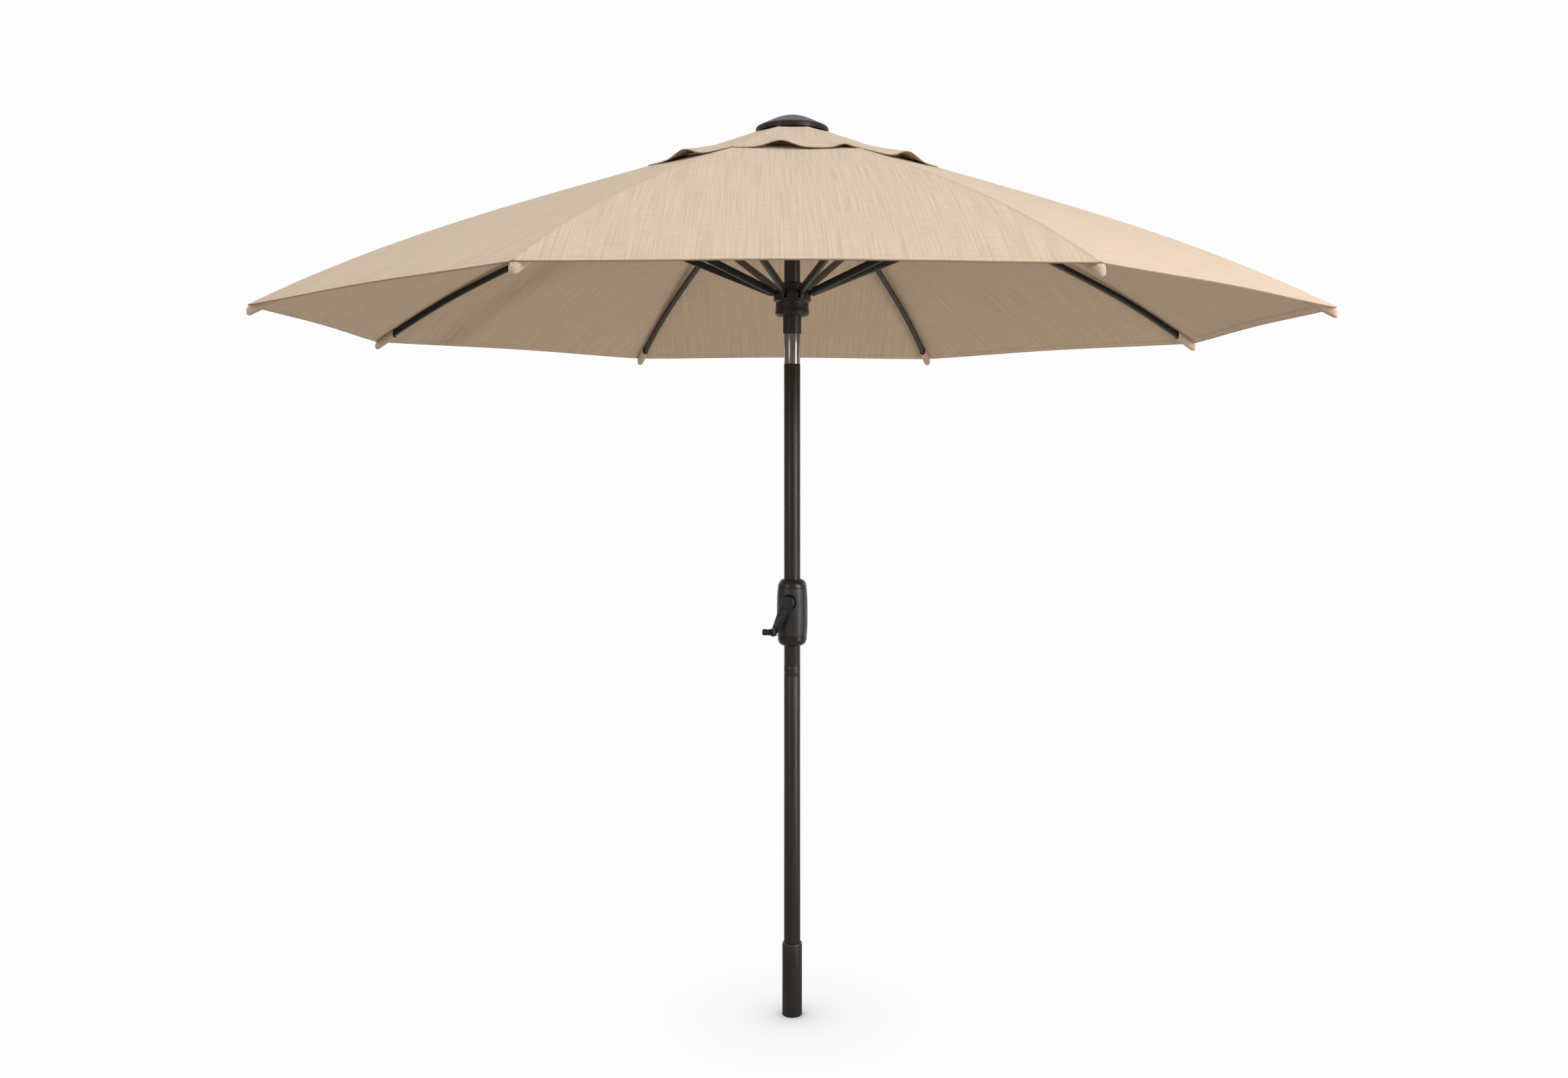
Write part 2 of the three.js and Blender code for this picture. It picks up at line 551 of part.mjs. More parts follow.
function addRunner() {
  const bore = SLEEVE_RADIUS + FIT_GAP;
  const flangeBottom = FLANGE_TOP - RUNNER_FLANGE_THICKNESS;
  const body = [
    [bore, RUNNER_BOTTOM],
    [RUNNER_RIM_RADIUS - 6, RUNNER_BOTTOM],
    [RUNNER_RIM_RADIUS - 2, RUNNER_BOTTOM + 2],
    [RUNNER_RIM_RADIUS, RUNNER_BOTTOM + 7],
    [RUNNER_RIM_RADIUS, RUNNER_BOTTOM + 17],
    [RUNNER_RIM_RADIUS - 1, RUNNER_BOTTOM + 19],
    [RUNNER_RIM_RADIUS - 1, flangeBottom - 4],
    [RUNNER_FLANGE_RADIUS - 1, flangeBottom - 1],
    [RUNNER_FLANGE_RADIUS, flangeBottom + 1],
    [RUNNER_FLANGE_RADIUS, FLANGE_TOP - 2],
    [RUNNER_FLANGE_RADIUS - 1.5, FLANGE_TOP],
    [RUNNER_FLANGE_RADIUS - 1.5, TEETH_TOP],
    [RUNNER_COLLAR_RADIUS + 1, TEETH_TOP],
    [RUNNER_COLLAR_RADIUS, TEETH_TOP + 2],
    [RUNNER_COLLAR_RADIUS, COLLAR_TOP - 5],
    [RUNNER_COLLAR_RADIUS - 5, COLLAR_TOP],
    [bore, COLLAR_TOP],
  ];
  const slots = eyeSlots(FLANGE_TOP, TEETH_TOP + 5);
  const channel = wireRing(WIRE_RADIUS + FIT_GAP, RUNNER_HINGE_Z);
  addPiece("runner_body", cut(turned(body), ...slots, channel), blackPlastic);
  addPiece("runner_wire_ring", wireRing(WIRE_RADIUS, RUNNER_HINGE_Z), steel);
  const sleeve = tube(SLEEVE_RADIUS, RUNNER_BORE, SLEEVE_BOTTOM, COLLAR_TOP - 2);
  addPiece("runner_sleeve", sleeve, blackPlastic);
}

function addCrown() {
  const bore = MAST_RADIUS + FIT_GAP;
  const hub = [
    [bore, HUB_BOTTOM],
    [HUB_RADIUS - 2, HUB_BOTTOM],
    [HUB_RADIUS, HUB_BOTTOM + 2],
    [HUB_RADIUS, HUB_TOP - 3],
    [HUB_RADIUS - 3, HUB_TOP],
    [bore, HUB_TOP],
  ];
  const slots = eyeSlots(HUB_BOTTOM - 5, SLOT_TOP);
  const channel = wireRing(WIRE_RADIUS + FIT_GAP, CROWN_HINGE_Z);
  addPiece("crown_hub", cut(turned(hub), ...slots, channel), blackPlastic);
  addPiece("crown_wire_ring", wireRing(WIRE_RADIUS, CROWN_HINGE_Z), steel);

  const pulleyZ = HUB_TOP - PULLEY_DROP;
  const half = PULLEY_WIDTH / 2;
  const pulleyBore = PULLEY_PIN_RADIUS + FIT_GAP;
  const pulley = [
    [pulleyBore, -half],
    [PULLEY_RADIUS, -half],
    [PULLEY_RADIUS, 1.2 - half],
    [PULLEY_RADIUS - 4, 0],
    [PULLEY_RADIUS, half - 1.2],
    [PULLEY_RADIUS, half],
    [pulleyBore, half],
  ];
  addPiece("top_pulley", forward(turned(pulley, 16), pulleyZ), blackPlastic);
  const pin = rod(PULLEY_PIN_RADIUS, FIT_GAP - MAST_RADIUS, MAST_RADIUS - FIT_GAP, 14);
  addPiece("pulley_pin", forward(pin, pulleyZ), steel);

  const plateBottom = HUB_TOP + FIT_GAP;
  const stud = [
    [0, HUB_TOP - STUD_PLUG_DEPTH],
    [MAST_BORE - FIT_GAP, HUB_TOP - STUD_PLUG_DEPTH],
    [MAST_BORE - FIT_GAP, plateBottom],
    [MAST_RADIUS, plateBottom],
    [MAST_RADIUS, plateBottom + STUD_PLATE_THICKNESS],
    [STUD_RADIUS, plateBottom + STUD_PLATE_THICKNESS],
    [STUD_RADIUS, FINIAL_TOP - STUD_TOP_DROP],
    [0, FINIAL_TOP - STUD_TOP_DROP],
  ];
  addPiece("finial_stud", turned(stud), steel);

  const rim = FINIAL_RADIUS;
  const inner = FINIAL_WALL;
  const cap = [
    [rim - inner, FINIAL_BOTTOM],
    [rim, FINIAL_BOTTOM],
    [rim, FINIAL_BOTTOM + 12],
    [rim - 1.5, FINIAL_BOTTOM + 15],
    [rim - 5, FINIAL_BOTTOM + 17.5],
    [0.84 * rim, FINIAL_BOTTOM + 0.45 * FINIAL_HEIGHT],
    [0.63 * rim, FINIAL_BOTTOM + 0.67 * FINIAL_HEIGHT],
    [0.4 * rim, FINIAL_BOTTOM + 0.87 * FINIAL_HEIGHT],
    [0.24 * rim, FINIAL_BOTTOM + 0.96 * FINIAL_HEIGHT],
    [0.12 * rim, FINIAL_TOP - 0.3],
    [0, FINIAL_TOP],
    [0, FINIAL_TOP - 8],
    [STUD_RADIUS + FIT_GAP, FINIAL_TOP - 8],
    [STUD_RADIUS + FIT_GAP, FINIAL_BOTTOM + 2],
    [STUD_RADIUS + 7, FINIAL_BOTTOM + 2],
    [STUD_RADIUS + 7, FINIAL_TOP - 9],
    [0.4 * rim, FINIAL_BOTTOM + 0.87 * FINIAL_HEIGHT - inner],
    [0.63 * rim, FINIAL_BOTTOM + 0.67 * FINIAL_HEIGHT - inner],
    [0.84 * rim, FINIAL_BOTTOM + 0.45 * FINIAL_HEIGHT - inner],
    [rim - inner, FINIAL_BOTTOM + 13],
  ];
  const outline = cap.map(([radius, z]) => new THREE.Vector2(radius, z));
  outline.push(outline[0].clone());
  const shell = new THREE.LatheGeometry(outline, ROUND_STEPS).rotateX(Math.PI / 2);
  addPiece("finial_cap", shell, blackPlastic);
}

// ---- Ribs and struts ----
function bandPoints(from, to, centre, half) {
  const stations = Array.from({ length: RIB_STATIONS + 1 }, (_, i) => {
    return from + ((to - from) * i) / RIB_STATIONS;
  });
  const lower = stations.map((rho) => new THREE.Vector2(rho, centre(rho) - half));
  const upper = stations.reverse().map((rho) => new THREE.Vector2(rho, centre(rho) + half));
  return [...lower, ...upper];
}

function ribGeometry() {
  const tubeStart = HUB_RADIUS + TUBE_EYE_GAP;
  const outer = bandPoints(tubeStart, RIB_END_RHO, ribHeight, RIB_HEIGHT / 2);
  const bore = bandPoints(tubeStart + 25, RIB_END_RHO + 5, ribHeight, RIB_HEIGHT / 2 - RIB_WALL);
  const tubePart = cut(
    uprightPlate(outer, [], RIB_WIDTH),
    uprightPlate(bore, [], RIB_WIDTH - 2 * RIB_WALL),
  );

  const neck = tubeStart + 6;
  const neckHalf = RIB_HEIGHT / 2 - 2;
  const eyeOutline = [
    new THREE.Vector2(neck, ribHeight(neck) - neckHalf),
    new THREE.Vector2(neck, ribHeight(neck) + neckHalf),
    ...circlePoints(HINGE_RADIUS, CROWN_HINGE_Z, EYE_RADIUS, 1.3, 2 * Math.PI - 1.9, 8),
  ];
  const wireHole = { x: HINGE_RADIUS, y: CROWN_HINGE_Z, radius: WIRE_HOLE };
  const eye = uprightPlate(eyeOutline, [wireHole], EYE_THICKNESS);

  const rootZ = ribHeight(RIVET_RHO) - RIB_HEIGHT / 2 + RIB_WALL / 2;
  const bracketOutline = [
    new THREE.Vector2(RIVET_RHO + 24, rootZ - 8),
    new THREE.Vector2(RIVET_RHO + 24, rootZ),
    new THREE.Vector2(RIVET_RHO - 18, rootZ + 8),
    new THREE.Vector2(RIVET_RHO - 18, rootZ + 2),
    ...circlePoints(RIVET_RHO, RIVET_Z, BRACKET_RADIUS, Math.PI - 0.3, 2 * Math.PI + 0.1, 6),
  ];
  const rivetHole = { x: RIVET_RHO, y: RIVET_Z, radius: RIVET_RADIUS + FIT_GAP };
  const bracket = uprightPlate(bracketOutline, [rivetHole], EYE_THICKNESS);
  return join(tubePart, eye, bracket);
}

// A strut lies along +X from its runner eye before it is turned up to the open angle.
function strutGeometry() {
  const length = LINK_LENGTH;
  const half = STRUT_HEIGHT / 2;
  const tubeStart = STRUT_TUBE_START;
  const outline = [
    new THREE.Vector2(tubeStart, half - 2),
    new THREE.Vector2(tubeStart, 2 - half),
    new THREE.Vector2(tubeStart + 8, -half),
    ...circlePoints(length, 0, half, -Math.PI / 2, Math.PI / 2, 6),
    new THREE.Vector2(tubeStart + 8, half),
  ];
  const body = uprightPlate(outline, [], STRUT_WIDTH);
  const boreLength = length - tubeStart - 30;
  const boreHeight = STRUT_HEIGHT - 2 * STRUT_WALL;
  const bore = new THREE.BoxGeometry(boreLength, STRUT_WIDTH - 2 * STRUT_WALL, boreHeight);
  bore.translate(length - FORK_DEPTH - boreLength / 2 + 3, 0, 0);
  const slot = new THREE.BoxGeometry(SLOT_LENGTH, SLOT_WIDTH, STRUT_HEIGHT + 10);
  slot.translate(length - FORK_DEPTH + SLOT_LENGTH / 2, 0, 0);
  const rivet = rod(RIVET_RADIUS, -STRUT_WIDTH / 2 - 1, STRUT_WIDTH / 2 + 1, 10);
  rivet.rotateX(Math.PI / 2).translate(length, 0, 0);

  const eyeOutline = [
    new THREE.Vector2(tubeStart + 5, 2.5 - half),
    new THREE.Vector2(tubeStart + 5, half - 2.5),
    ...circlePoints(0, 0, EYE_RADIUS - 1, Math.PI / 2 - 0.2, 1.5 * Math.PI + 0.2, 8),
  ];
  const eye = uprightPlate(eyeOutline, [{ x: 0, y: 0, radius: WIRE_HOLE }], EYE_THICKNESS);
  const strut = join(cut(body, bore, slot), rivet, eye);
  return strut.rotateY(-OPEN_ANGLE).translate(HINGE_RADIUS, 0, RUNNER_HINGE_Z);
}

// ---- Cover ----
// One rib's share of the cover, from mid-panel to mid-panel, as a thin closed sheet. Panels are flat
// across, so a point at mid-panel is nearer the mast than the rib point at its own height.
function coverGeometry(innerRho, outerRho, height, wave, rows) {
  const columns = 4;
  const sheet = new THREE.BoxGeometry(2, 1, 1, columns, rows, 1);
  const place = sheet.attributes.position;
  const along = Math.cos(HALF_PANEL) ** 2;
  const across = Math.cos(HALF_PANEL) * Math.sin(HALF_PANEL);
  for (let i = 0; i < place.count; i += 1) {
    const rho = innerRho + (outerRho - innerRho) * (place.getY(i) + 0.5);
    const share = -place.getX(i) * (1 - MID_PANEL_GAP / (rho * across));
    const spread = Math.abs(share);
    const hump = Math.sin((Math.PI / 2) * spread) ** 2;
    const lift = wave * hump * ((rho - innerRho) / (outerRho - innerRho)) ** 3;
    const fall = place.getZ(i) < 0 ? FABRIC_THICKNESS : 0;
    const x = rho * (1 - spread * (1 - along));
    place.setXYZ(i, x, share * rho * across, height(rho) + lift - fall);
  }
  return sheet;
}

function addCanopy() {
  for (let index = 0; index < RIB_COUNT; index += 1) {
    const sector = new THREE.Group();
    sector.rotation.z = ribAngle(index);
    group.add(sector);
    const number = index + 1;
    addPiece(`rib_${number}`, ribGeometry(), bronze, sector);
    addPiece(`strut_${number}`, strutGeometry(), bronze, sector);
    const panel = coverGeometry(PANEL_INNER_RADIUS, CORNER_RADIUS, seamHeight, 0, 9);
    addPiece(`canopy_panel_${number}`, panel, fabric, sector);
    const vent = coverGeometry(VENT_INNER_RADIUS, VENT_RADIUS, ventHeight, VENT_WAVE, 6);
    addPiece(`vent_flap_${number}`, vent, fabric, sector);
  }
}

addPole();
addCrank(addHousing());
addRunner();
addCrown();
addCanopy();

export default group;
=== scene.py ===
"""Looks of a crank-lift patio umbrella, laid out as a Blender add-on and run as a script.

Lengths are millimetres unless a name says otherwise, +Z up, the mast's axis on Z.
"""

import math

import bmesh
import bpy
import numpy as np
from bpy.props import FloatProperty, FloatVectorProperty, PointerProperty
from mathutils import Matrix, Vector


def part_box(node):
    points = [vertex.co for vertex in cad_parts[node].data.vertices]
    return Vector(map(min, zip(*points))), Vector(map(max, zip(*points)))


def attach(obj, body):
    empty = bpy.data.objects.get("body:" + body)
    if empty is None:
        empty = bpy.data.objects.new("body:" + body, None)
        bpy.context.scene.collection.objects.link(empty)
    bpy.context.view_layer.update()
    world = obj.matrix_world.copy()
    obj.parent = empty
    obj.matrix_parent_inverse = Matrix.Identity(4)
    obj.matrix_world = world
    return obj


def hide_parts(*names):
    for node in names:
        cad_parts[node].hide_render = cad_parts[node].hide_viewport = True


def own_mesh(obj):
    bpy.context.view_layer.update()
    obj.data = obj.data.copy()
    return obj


bl_info = {
    "name": "Patio Umbrella",
    "version": (1, 0, 0),
    "blender": (4, 5, 0),
    "location": "3D View > Sidebar > Umbrella",
    "description": "Makes the pieces, finishes and stage of a crank-lift patio umbrella",
    "category": "Add Mesh",
}

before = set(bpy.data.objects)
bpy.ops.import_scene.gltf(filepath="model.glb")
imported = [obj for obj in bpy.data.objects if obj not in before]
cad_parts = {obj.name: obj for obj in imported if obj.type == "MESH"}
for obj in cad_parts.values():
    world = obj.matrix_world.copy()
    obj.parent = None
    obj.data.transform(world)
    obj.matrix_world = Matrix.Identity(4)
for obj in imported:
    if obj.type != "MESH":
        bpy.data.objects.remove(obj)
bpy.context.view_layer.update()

# ---- Sizes shared with the CAD part ----
MM = 0.001
RIB_COUNT = 8
HALF_PANEL = math.pi / RIB_COUNT
PANEL_COS = math.cos(HALF_PANEL)
PANEL_SIN = math.sin(HALF_PANEL)
FIT_GAP = 0.3
POLE_RADIUS = 24.0
POLE_BORE = 22.0
FOOT_RADIUS = 29.0
POLISHED_RADIUS = 23.3
MAST_RADIUS = 23.5
MAST_WALL = 2.0
SPIGOT_WALL = 2.5
HOUSING_RADIUS = 45.0
HOUSING_WALL = 3.2
CAP_WALL = 4.5
CAP_LIP = 0.8
BEARING_RADIUS = 23.5
BEARING_RECESS = 20.4
SHAFT_HOLE = 6.3
CRANK_TURN = math.radians(-13.5)
ARM_BACK = 53.0
ARM_FRONT = 65.0
ARM_LENGTH = 94.0
ARM_ANGLE = math.radians(25)
BOSS_RADIUS = 18.8
TIP_RADIUS = 9.0
KNOB_DEPTH = 75.8
STEM_RADIUS = 7.0
EAR_WALL = 1.2
EAR_THICKNESS = 3.2
EAR_CLEARANCE = 1.6
BARREL_RADIUS = 7.4
SPINDLE_RADIUS = 3.0
SPINDLE_REACH = 17.0
PIN_RADIUS = 2.5
PIN_HEAD_RADIUS = 4.0
GRIP_GAP = 1.5
GRIP_LENGTH = 24.0
HINGE_RADIUS = 50.0
CROWN_HINGE_Z = 2555.0
EYE_RADIUS = 8.5
EYE_THICKNESS = 6.0
EYE_EDGE = 0.7
WIRE_SLACK = 0.6
SLOT_HALF = 3.6
SLOT_FLOOR = 39.5
WIRE_RADIUS = 2.0
HUB_RADIUS = 61.0
RUNNER_SLEEVE_RADIUS = 27.2
RUNNER_SLEEVE_BORE = 24.6
FLANGE_DROP = 14.0
TEETH_RISE = 9.0
RIB_WIDTH = 14.0
RIB_HEIGHT = 18.0
RIB_CORNER = 3.0
RIB_SEAM_GAP = 15.0
RIB_LEVEL_RADIUS = 1200.0
RIB_END = 1465.0
STRUT_WIDTH = 14.0
STRUT_HEIGHT = 20.0
STRUT_CORNER = 3.2
RIVET_HALF = 3.3
CORNER_RADIUS = 1483.0
FINIAL_RADIUS = 107.0
SEAM_TOP_Z = 2577.0
CANOPY_FALL = 559.0
SEAM_ARCH = 32.0
PANEL_INNER = 330.0
VENT_INNER = 24.0
VENT_OUTER = 440.0
BRACKET_DROP = 35.0
RIB_START_GAP = 4.0
STRUT_START = 19.0
FORK_SETBACK = 13.0
VENT_HEM = 12.0


def span(node):
    """Lowest and highest z of a CAD node."""
    low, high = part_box(node)
    return low.z / MM, high.z / MM


def rib_turn(index):
    return -math.pi / 2 + HALF_PANEL * (2 * index + 1)


def seam_height(rho):
    """Height of the cover's seam at a distance from the mast."""
    t = (rho - FINIAL_RADIUS) / (CORNER_RADIUS - FINIAL_RADIUS)
    return SEAM_TOP_Z - CANOPY_FALL * t + 6.75 * SEAM_ARCH * t * t * (1 - t)


def rib_height(rho):
    """Height of a rib's middle line at a distance from the mast."""
    drop = seam_height(HINGE_RADIUS) - RIB_SEAM_GAP - CROWN_HINGE_Z
    share = max(0.0, (RIB_LEVEL_RADIUS - rho) / (RIB_LEVEL_RADIUS - HINGE_RADIUS))
    return seam_height(rho) - RIB_SEAM_GAP - drop * share


CRANK_Z = sum(span("crank_bearing")) / 2
RUNNER_HINGE_Z = sum(span("runner_wire_ring")) / 2
LINK_RISE = (CROWN_HINGE_Z - RUNNER_HINGE_Z) / 2
RIVET_Z = CROWN_HINGE_Z - LINK_RISE


def rivet_distance():
    """Where the bracket's rivet lies: its height plus the bracket's drop is the rib's middle line."""
    near, far = 300.0, 900.0
    for _ in range(50):
        middle = (near + far) / 2
        if rib_height(middle) - BRACKET_DROP > RIVET_Z:
            near = middle
        else:
            far = middle
    return near


RIVET_RHO = rivet_distance()
LINK_RUN = RIVET_RHO - HINGE_RADIUS
LINK_LENGTH = math.hypot(LINK_RUN, LINK_RISE)
STRUT_SLOPE = math.atan2(LINK_RISE, LINK_RUN)


# ---- Mesh tools ----
FINE_TURN = 96
MERGE_DISTANCE = 2e-6
THIN_EDGE = 1e-6
SHARP_MOULDING = math.radians(32)
SHARP_CLOTH = math.radians(40)
SHARP_POCKET = math.radians(50)


def new_mesh(points, faces, place=None):
    """A mesh from millimetres, moved by place."""
    points = np.asarray(points, float).reshape(-1, 3)
    if place is not None:
        points = points @ np.array(place.to_3x3()).T + np.array(place.translation)
    mesh = bpy.data.meshes.new("shape")
    mesh.from_pydata((points * MM).tolist(), [], faces)
    return mesh


def smoothed(mesh, sharp, merge=False):
    """Turns the faces outwards and shades them smooth, apart from edges sharper than an angle."""
    work = bmesh.new()
    work.from_mesh(mesh)
    if merge:
        bmesh.ops.remove_doubles(work, verts=work.verts, dist=MERGE_DISTANCE)
        bmesh.ops.dissolve_degenerate(work, edges=work.edges, dist=THIN_EDGE)
    bmesh.ops.recalc_face_normals(work, faces=work.faces)
    work.to_mesh(mesh)
    work.free()
    mesh.polygons.foreach_set("use_smooth", [True] * len(mesh.polygons))
    mesh.set_sharp_from_angle(angle=sharp)
    return mesh


def close_up(mesh):
    return smoothed(mesh, SHARP_MOULDING, merge=True)


def joined(meshes):
    """Several meshes as one."""
    work = bmesh.new()
    for mesh in meshes:
        work.from_mesh(mesh)
    whole = bpy.data.meshes.new("joined")
    work.to_mesh(whole)
    work.free()
    for mesh in meshes:
        bpy.data.meshes.remove(mesh)
    return whole


def softened(outline, radius, steps=3):
    """An outline with its corners rounded. Points on the axis stay where they are."""
    count = len(outline)
    made = []
    for i, here in enumerate(outline):
        if here[0] < 1e-6:
            made.append(tuple(here))
            continue
        point = np.array(here, float)
        before = np.array(outline[i - 1], float)
        after = np.array(outline[(i + 1) % count], float)
        reach_in, reach_out = np.linalg.norm(before - point), np.linalg.norm(after - point)
        start = point + (before - point) * min(radius / reach_in, 0.45)
        end = point + (after - point) * min(radius / reach_out, 0.45)
        for step in range(steps + 1):
            t = step / steps
            made.append(tuple((1 - t) ** 2 * start + 2 * t * (1 - t) * point + t * t * end))
    return made


def flowing(points, steps=4):
    """A smooth line through points."""
    ends = [points[0], *points, points[-1]]
    made = []
    for corners in zip(ends, ends[1:], ends[2:], ends[3:]):
        a, b, c, d = (np.array(corner, float) for corner in corners)
        for t in np.arange(steps) / steps:
            bend = (2 * a - 5 * b + 4 * c - d) * t**2 + (3 * b - a - 3 * c + d) * t**3
            made.append(tuple(b + ((c - a) * t + bend) / 2))
    made.append(tuple(points[-1]))
    return made


def arc(x, y, radius, start, end, steps):
    angles = np.linspace(start, end, steps + 1)
    return [(x + radius * math.cos(a), y + radius * math.sin(a)) for a in angles]


def turned(outline, segments=72, place=None):
    """Turns a (radius, height) outline about Z. One that meets the axis makes a solid, any other a ring."""
    vertices, rings = [], []
    angles = [2 * math.pi * i / segments for i in range(segments)]
    for radius, height in outline:
        turns = angles if radius >= 1e-6 else angles[:1]
        rings.append(range(len(vertices), len(vertices) + len(turns)))
        vertices += [(radius * math.cos(a), radius * math.sin(a), height) for a in turns]
    faces = []
    for low, high in zip(rings, rings[1:] + rings[:1]):
        for i in range(segments):
            j = (i + 1) % segments
            corners = [low[i % len(low)], low[j % len(low)], high[j % len(high)], high[i % len(high)]]
            corners = list(dict.fromkeys(corners))
            if len(corners) > 2:
                faces.append(corners)
    return close_up(new_mesh(vertices, faces, place))


def block(outline, holes, thickness, edge, place):
    """A flat shape with rounded edges, its thickness centred on its plane, then moved by place."""
    shape = bpy.data.curves.new("shape", "CURVE")
    shape.dimensions = "2D"
    shape.fill_mode = "BOTH"
    shape.extrude = (thickness / 2 - edge) * MM
    shape.bevel_depth = edge * MM
    shape.bevel_resolution = 1
    shape.offset = -edge * MM
    for points in (outline, *holes):
        line = shape.splines.new("POLY")
        line.points.add(len(points) - 1)
        line.points.foreach_set("co", [v for x, y in points for v in (x * MM, y * MM, 0, 1)])
        line.use_cyclic_u = True
    holder = bpy.data.objects.new("shape", shape)
    bpy.context.scene.collection.objects.link(holder)
    bpy.context.view_layer.update()
    ready = holder.evaluated_get(bpy.context.evaluated_depsgraph_get())
    mesh = bpy.data.meshes.new_from_object(ready)
    bpy.data.objects.remove(holder)
    bpy.data.curves.remove(shape)
    scaled = place.copy()
    scaled.translation = place.translation * MM
    mesh.transform(scaled)
    return close_up(mesh)


UPRIGHT = Matrix.Rotation(math.pi / 2, 4, "X")
CRANK_SIDE = Matrix.Rotation(CRANK_TURN, 4, "Z")


def forward(height):
    """Stands a turned shape on its side, its axis pointing at the front of the crank."""
    return CRANK_SIDE @ Matrix.Translation((0, 0, height)) @ UPRIGHT


def in_rib_plane(index):
    return Matrix.Rotation(rib_turn(index), 4, "Z")


# ---- Node trees ----
def start_tree(kind, name, inputs, outputs):
    """A node group with inputs of (name, socket, default) and outputs of (name, socket)."""
    tree = bpy.data.node_groups.new(name, kind)
    for label, socket, value in inputs:
        made = tree.interface.new_socket(label, in_out="INPUT", socket_type="NodeSocket" + socket)
        if value is not None:
            made.default_value = value
    for label, socket in outputs:
        tree.interface.new_socket(label, in_out="OUTPUT", socket_type="NodeSocket" + socket)
    return tree, tree.nodes.new("NodeGroupInput").outputs


def add_node(tree, kind, values=None, **settings):
    """A node with its settings, and its input sockets set to values or linked to other sockets."""
    node = tree.nodes.new(kind)
    for key, value in settings.items():
        setattr(node, key, value)
    for key, value in (values or {}).items():
        if isinstance(value, bpy.types.NodeSocket):
            tree.links.new(value, node.inputs[key])
        else:
            node.inputs[key].default_value = value
    return node


def output(tree, kind, values=None, **settings):
    """The first output of a new node."""
    return add_node(tree, kind, values, **settings).outputs[0]


def maths(tree, operation, first, second=0.0, third=None):
    values = {0: first, 1: second}
    if third is not None:
        values[2] = third
    return output(tree, "ShaderNodeMath", values, operation=operation)


# ---- Geometry Nodes ----
def start_shape_tree(name, *sizes):
    """A tree that takes a shape, named sizes and a material."""
    inputs = [("Geometry", "Geometry", None), *sizes, ("Material", "Material", None)]
    return start_tree("GeometryNodeTree", name, inputs, [("Geometry", "Geometry")])


def end_shape_tree(tree, shape, given):
    whole = output(tree, "GeometryNodeRealizeInstances", {"Geometry": shape})
    values = {"Geometry": whole, "Material": given["Material"]}
    add_node(tree, "NodeGroupOutput", {"Geometry": output(tree, "GeometryNodeSetMaterial", values)})


def make_tube_tree():
    """A bent tube with a rounded rectangular section along a line."""
    sizes = [("Width", "Float", 0.014), ("Height", "Float", 0.018), ("Corner", "Float", 0.004)]
    tree, given = start_shape_tree("Tube along a line", *sizes)
    line = output(tree, "GeometryNodeMeshToCurve", {"Mesh": given["Geometry"]})
    upright = output(tree, "GeometryNodeSetCurveNormal", {"Curve": line}, mode="Z_UP")
    values = {"Width": given["Width"], "Height": given["Height"]}
    section = output(tree, "GeometryNodeCurvePrimitiveQuadrilateral", values)
    values = {"Curve": section, "Radius": given["Corner"], "Count": 5}
    rounded = output(tree, "GeometryNodeFilletCurve", values, mode="POLY")
    values = {"Curve": upright, "Profile Curve": rounded, "Fill Caps": True}
    end_shape_tree(tree, output(tree, "GeometryNodeCurveToMesh", values), given)


def make_stitch_tree():
    """A row of short threads along each line."""
    sizes = [("Pitch", "Float", 0.005), ("Length", "Float", 0.0036), ("Thread", "Float", 0.0005)]
    tree, given = start_shape_tree("Stitches along a line", *sizes)
    line = output(tree, "GeometryNodeMeshToCurve", {"Mesh": given["Geometry"]})
    values = {"Curve": line, "Length": given["Pitch"]}
    places = add_node(tree, "GeometryNodeCurveToPoints", values, mode="LENGTH").outputs
    bead = output(tree, "GeometryNodeMeshUVSphere", {"Segments": 6, "Rings": 4, "Radius": 1.0})
    thread = output(tree, "GeometryNodeSetShadeSmooth", {"Geometry": bead})
    half = maths(tree, "MULTIPLY", given["Length"], 0.5)
    values = {"X": given["Thread"], "Y": given["Thread"], "Z": half}
    values = {"Instance": thread, "Scale": output(tree, "ShaderNodeCombineXYZ", values)}
    values |= {"Points": places["Points"], "Rotation": places["Rotation"]}
    end_shape_tree(tree, output(tree, "GeometryNodeInstanceOnPoints", values), given)


def make_ring_tree():
    """Copies of one shape, evenly round the mast's axis."""
    sizes = [("Count", "Int", RIB_COUNT), ("First Angle", "Float", 0.0)]
    tree, given = start_shape_tree("Ring of copies", *sizes)
    points = output(tree, "GeometryNodePoints", {"Count": given["Count"]})
    index = output(tree, "GeometryNodeInputIndex")
    pitch = maths(tree, "DIVIDE", 2 * math.pi, given["Count"])
    angle = maths(tree, "MULTIPLY_ADD", index, pitch, given["First Angle"])
    turn = output(tree, "ShaderNodeCombineXYZ", {"Z": angle})
    values = {"Points": points, "Instance": given["Geometry"], "Rotation": turn}
    end_shape_tree(tree, output(tree, "GeometryNodeInstanceOnPoints", values), given)


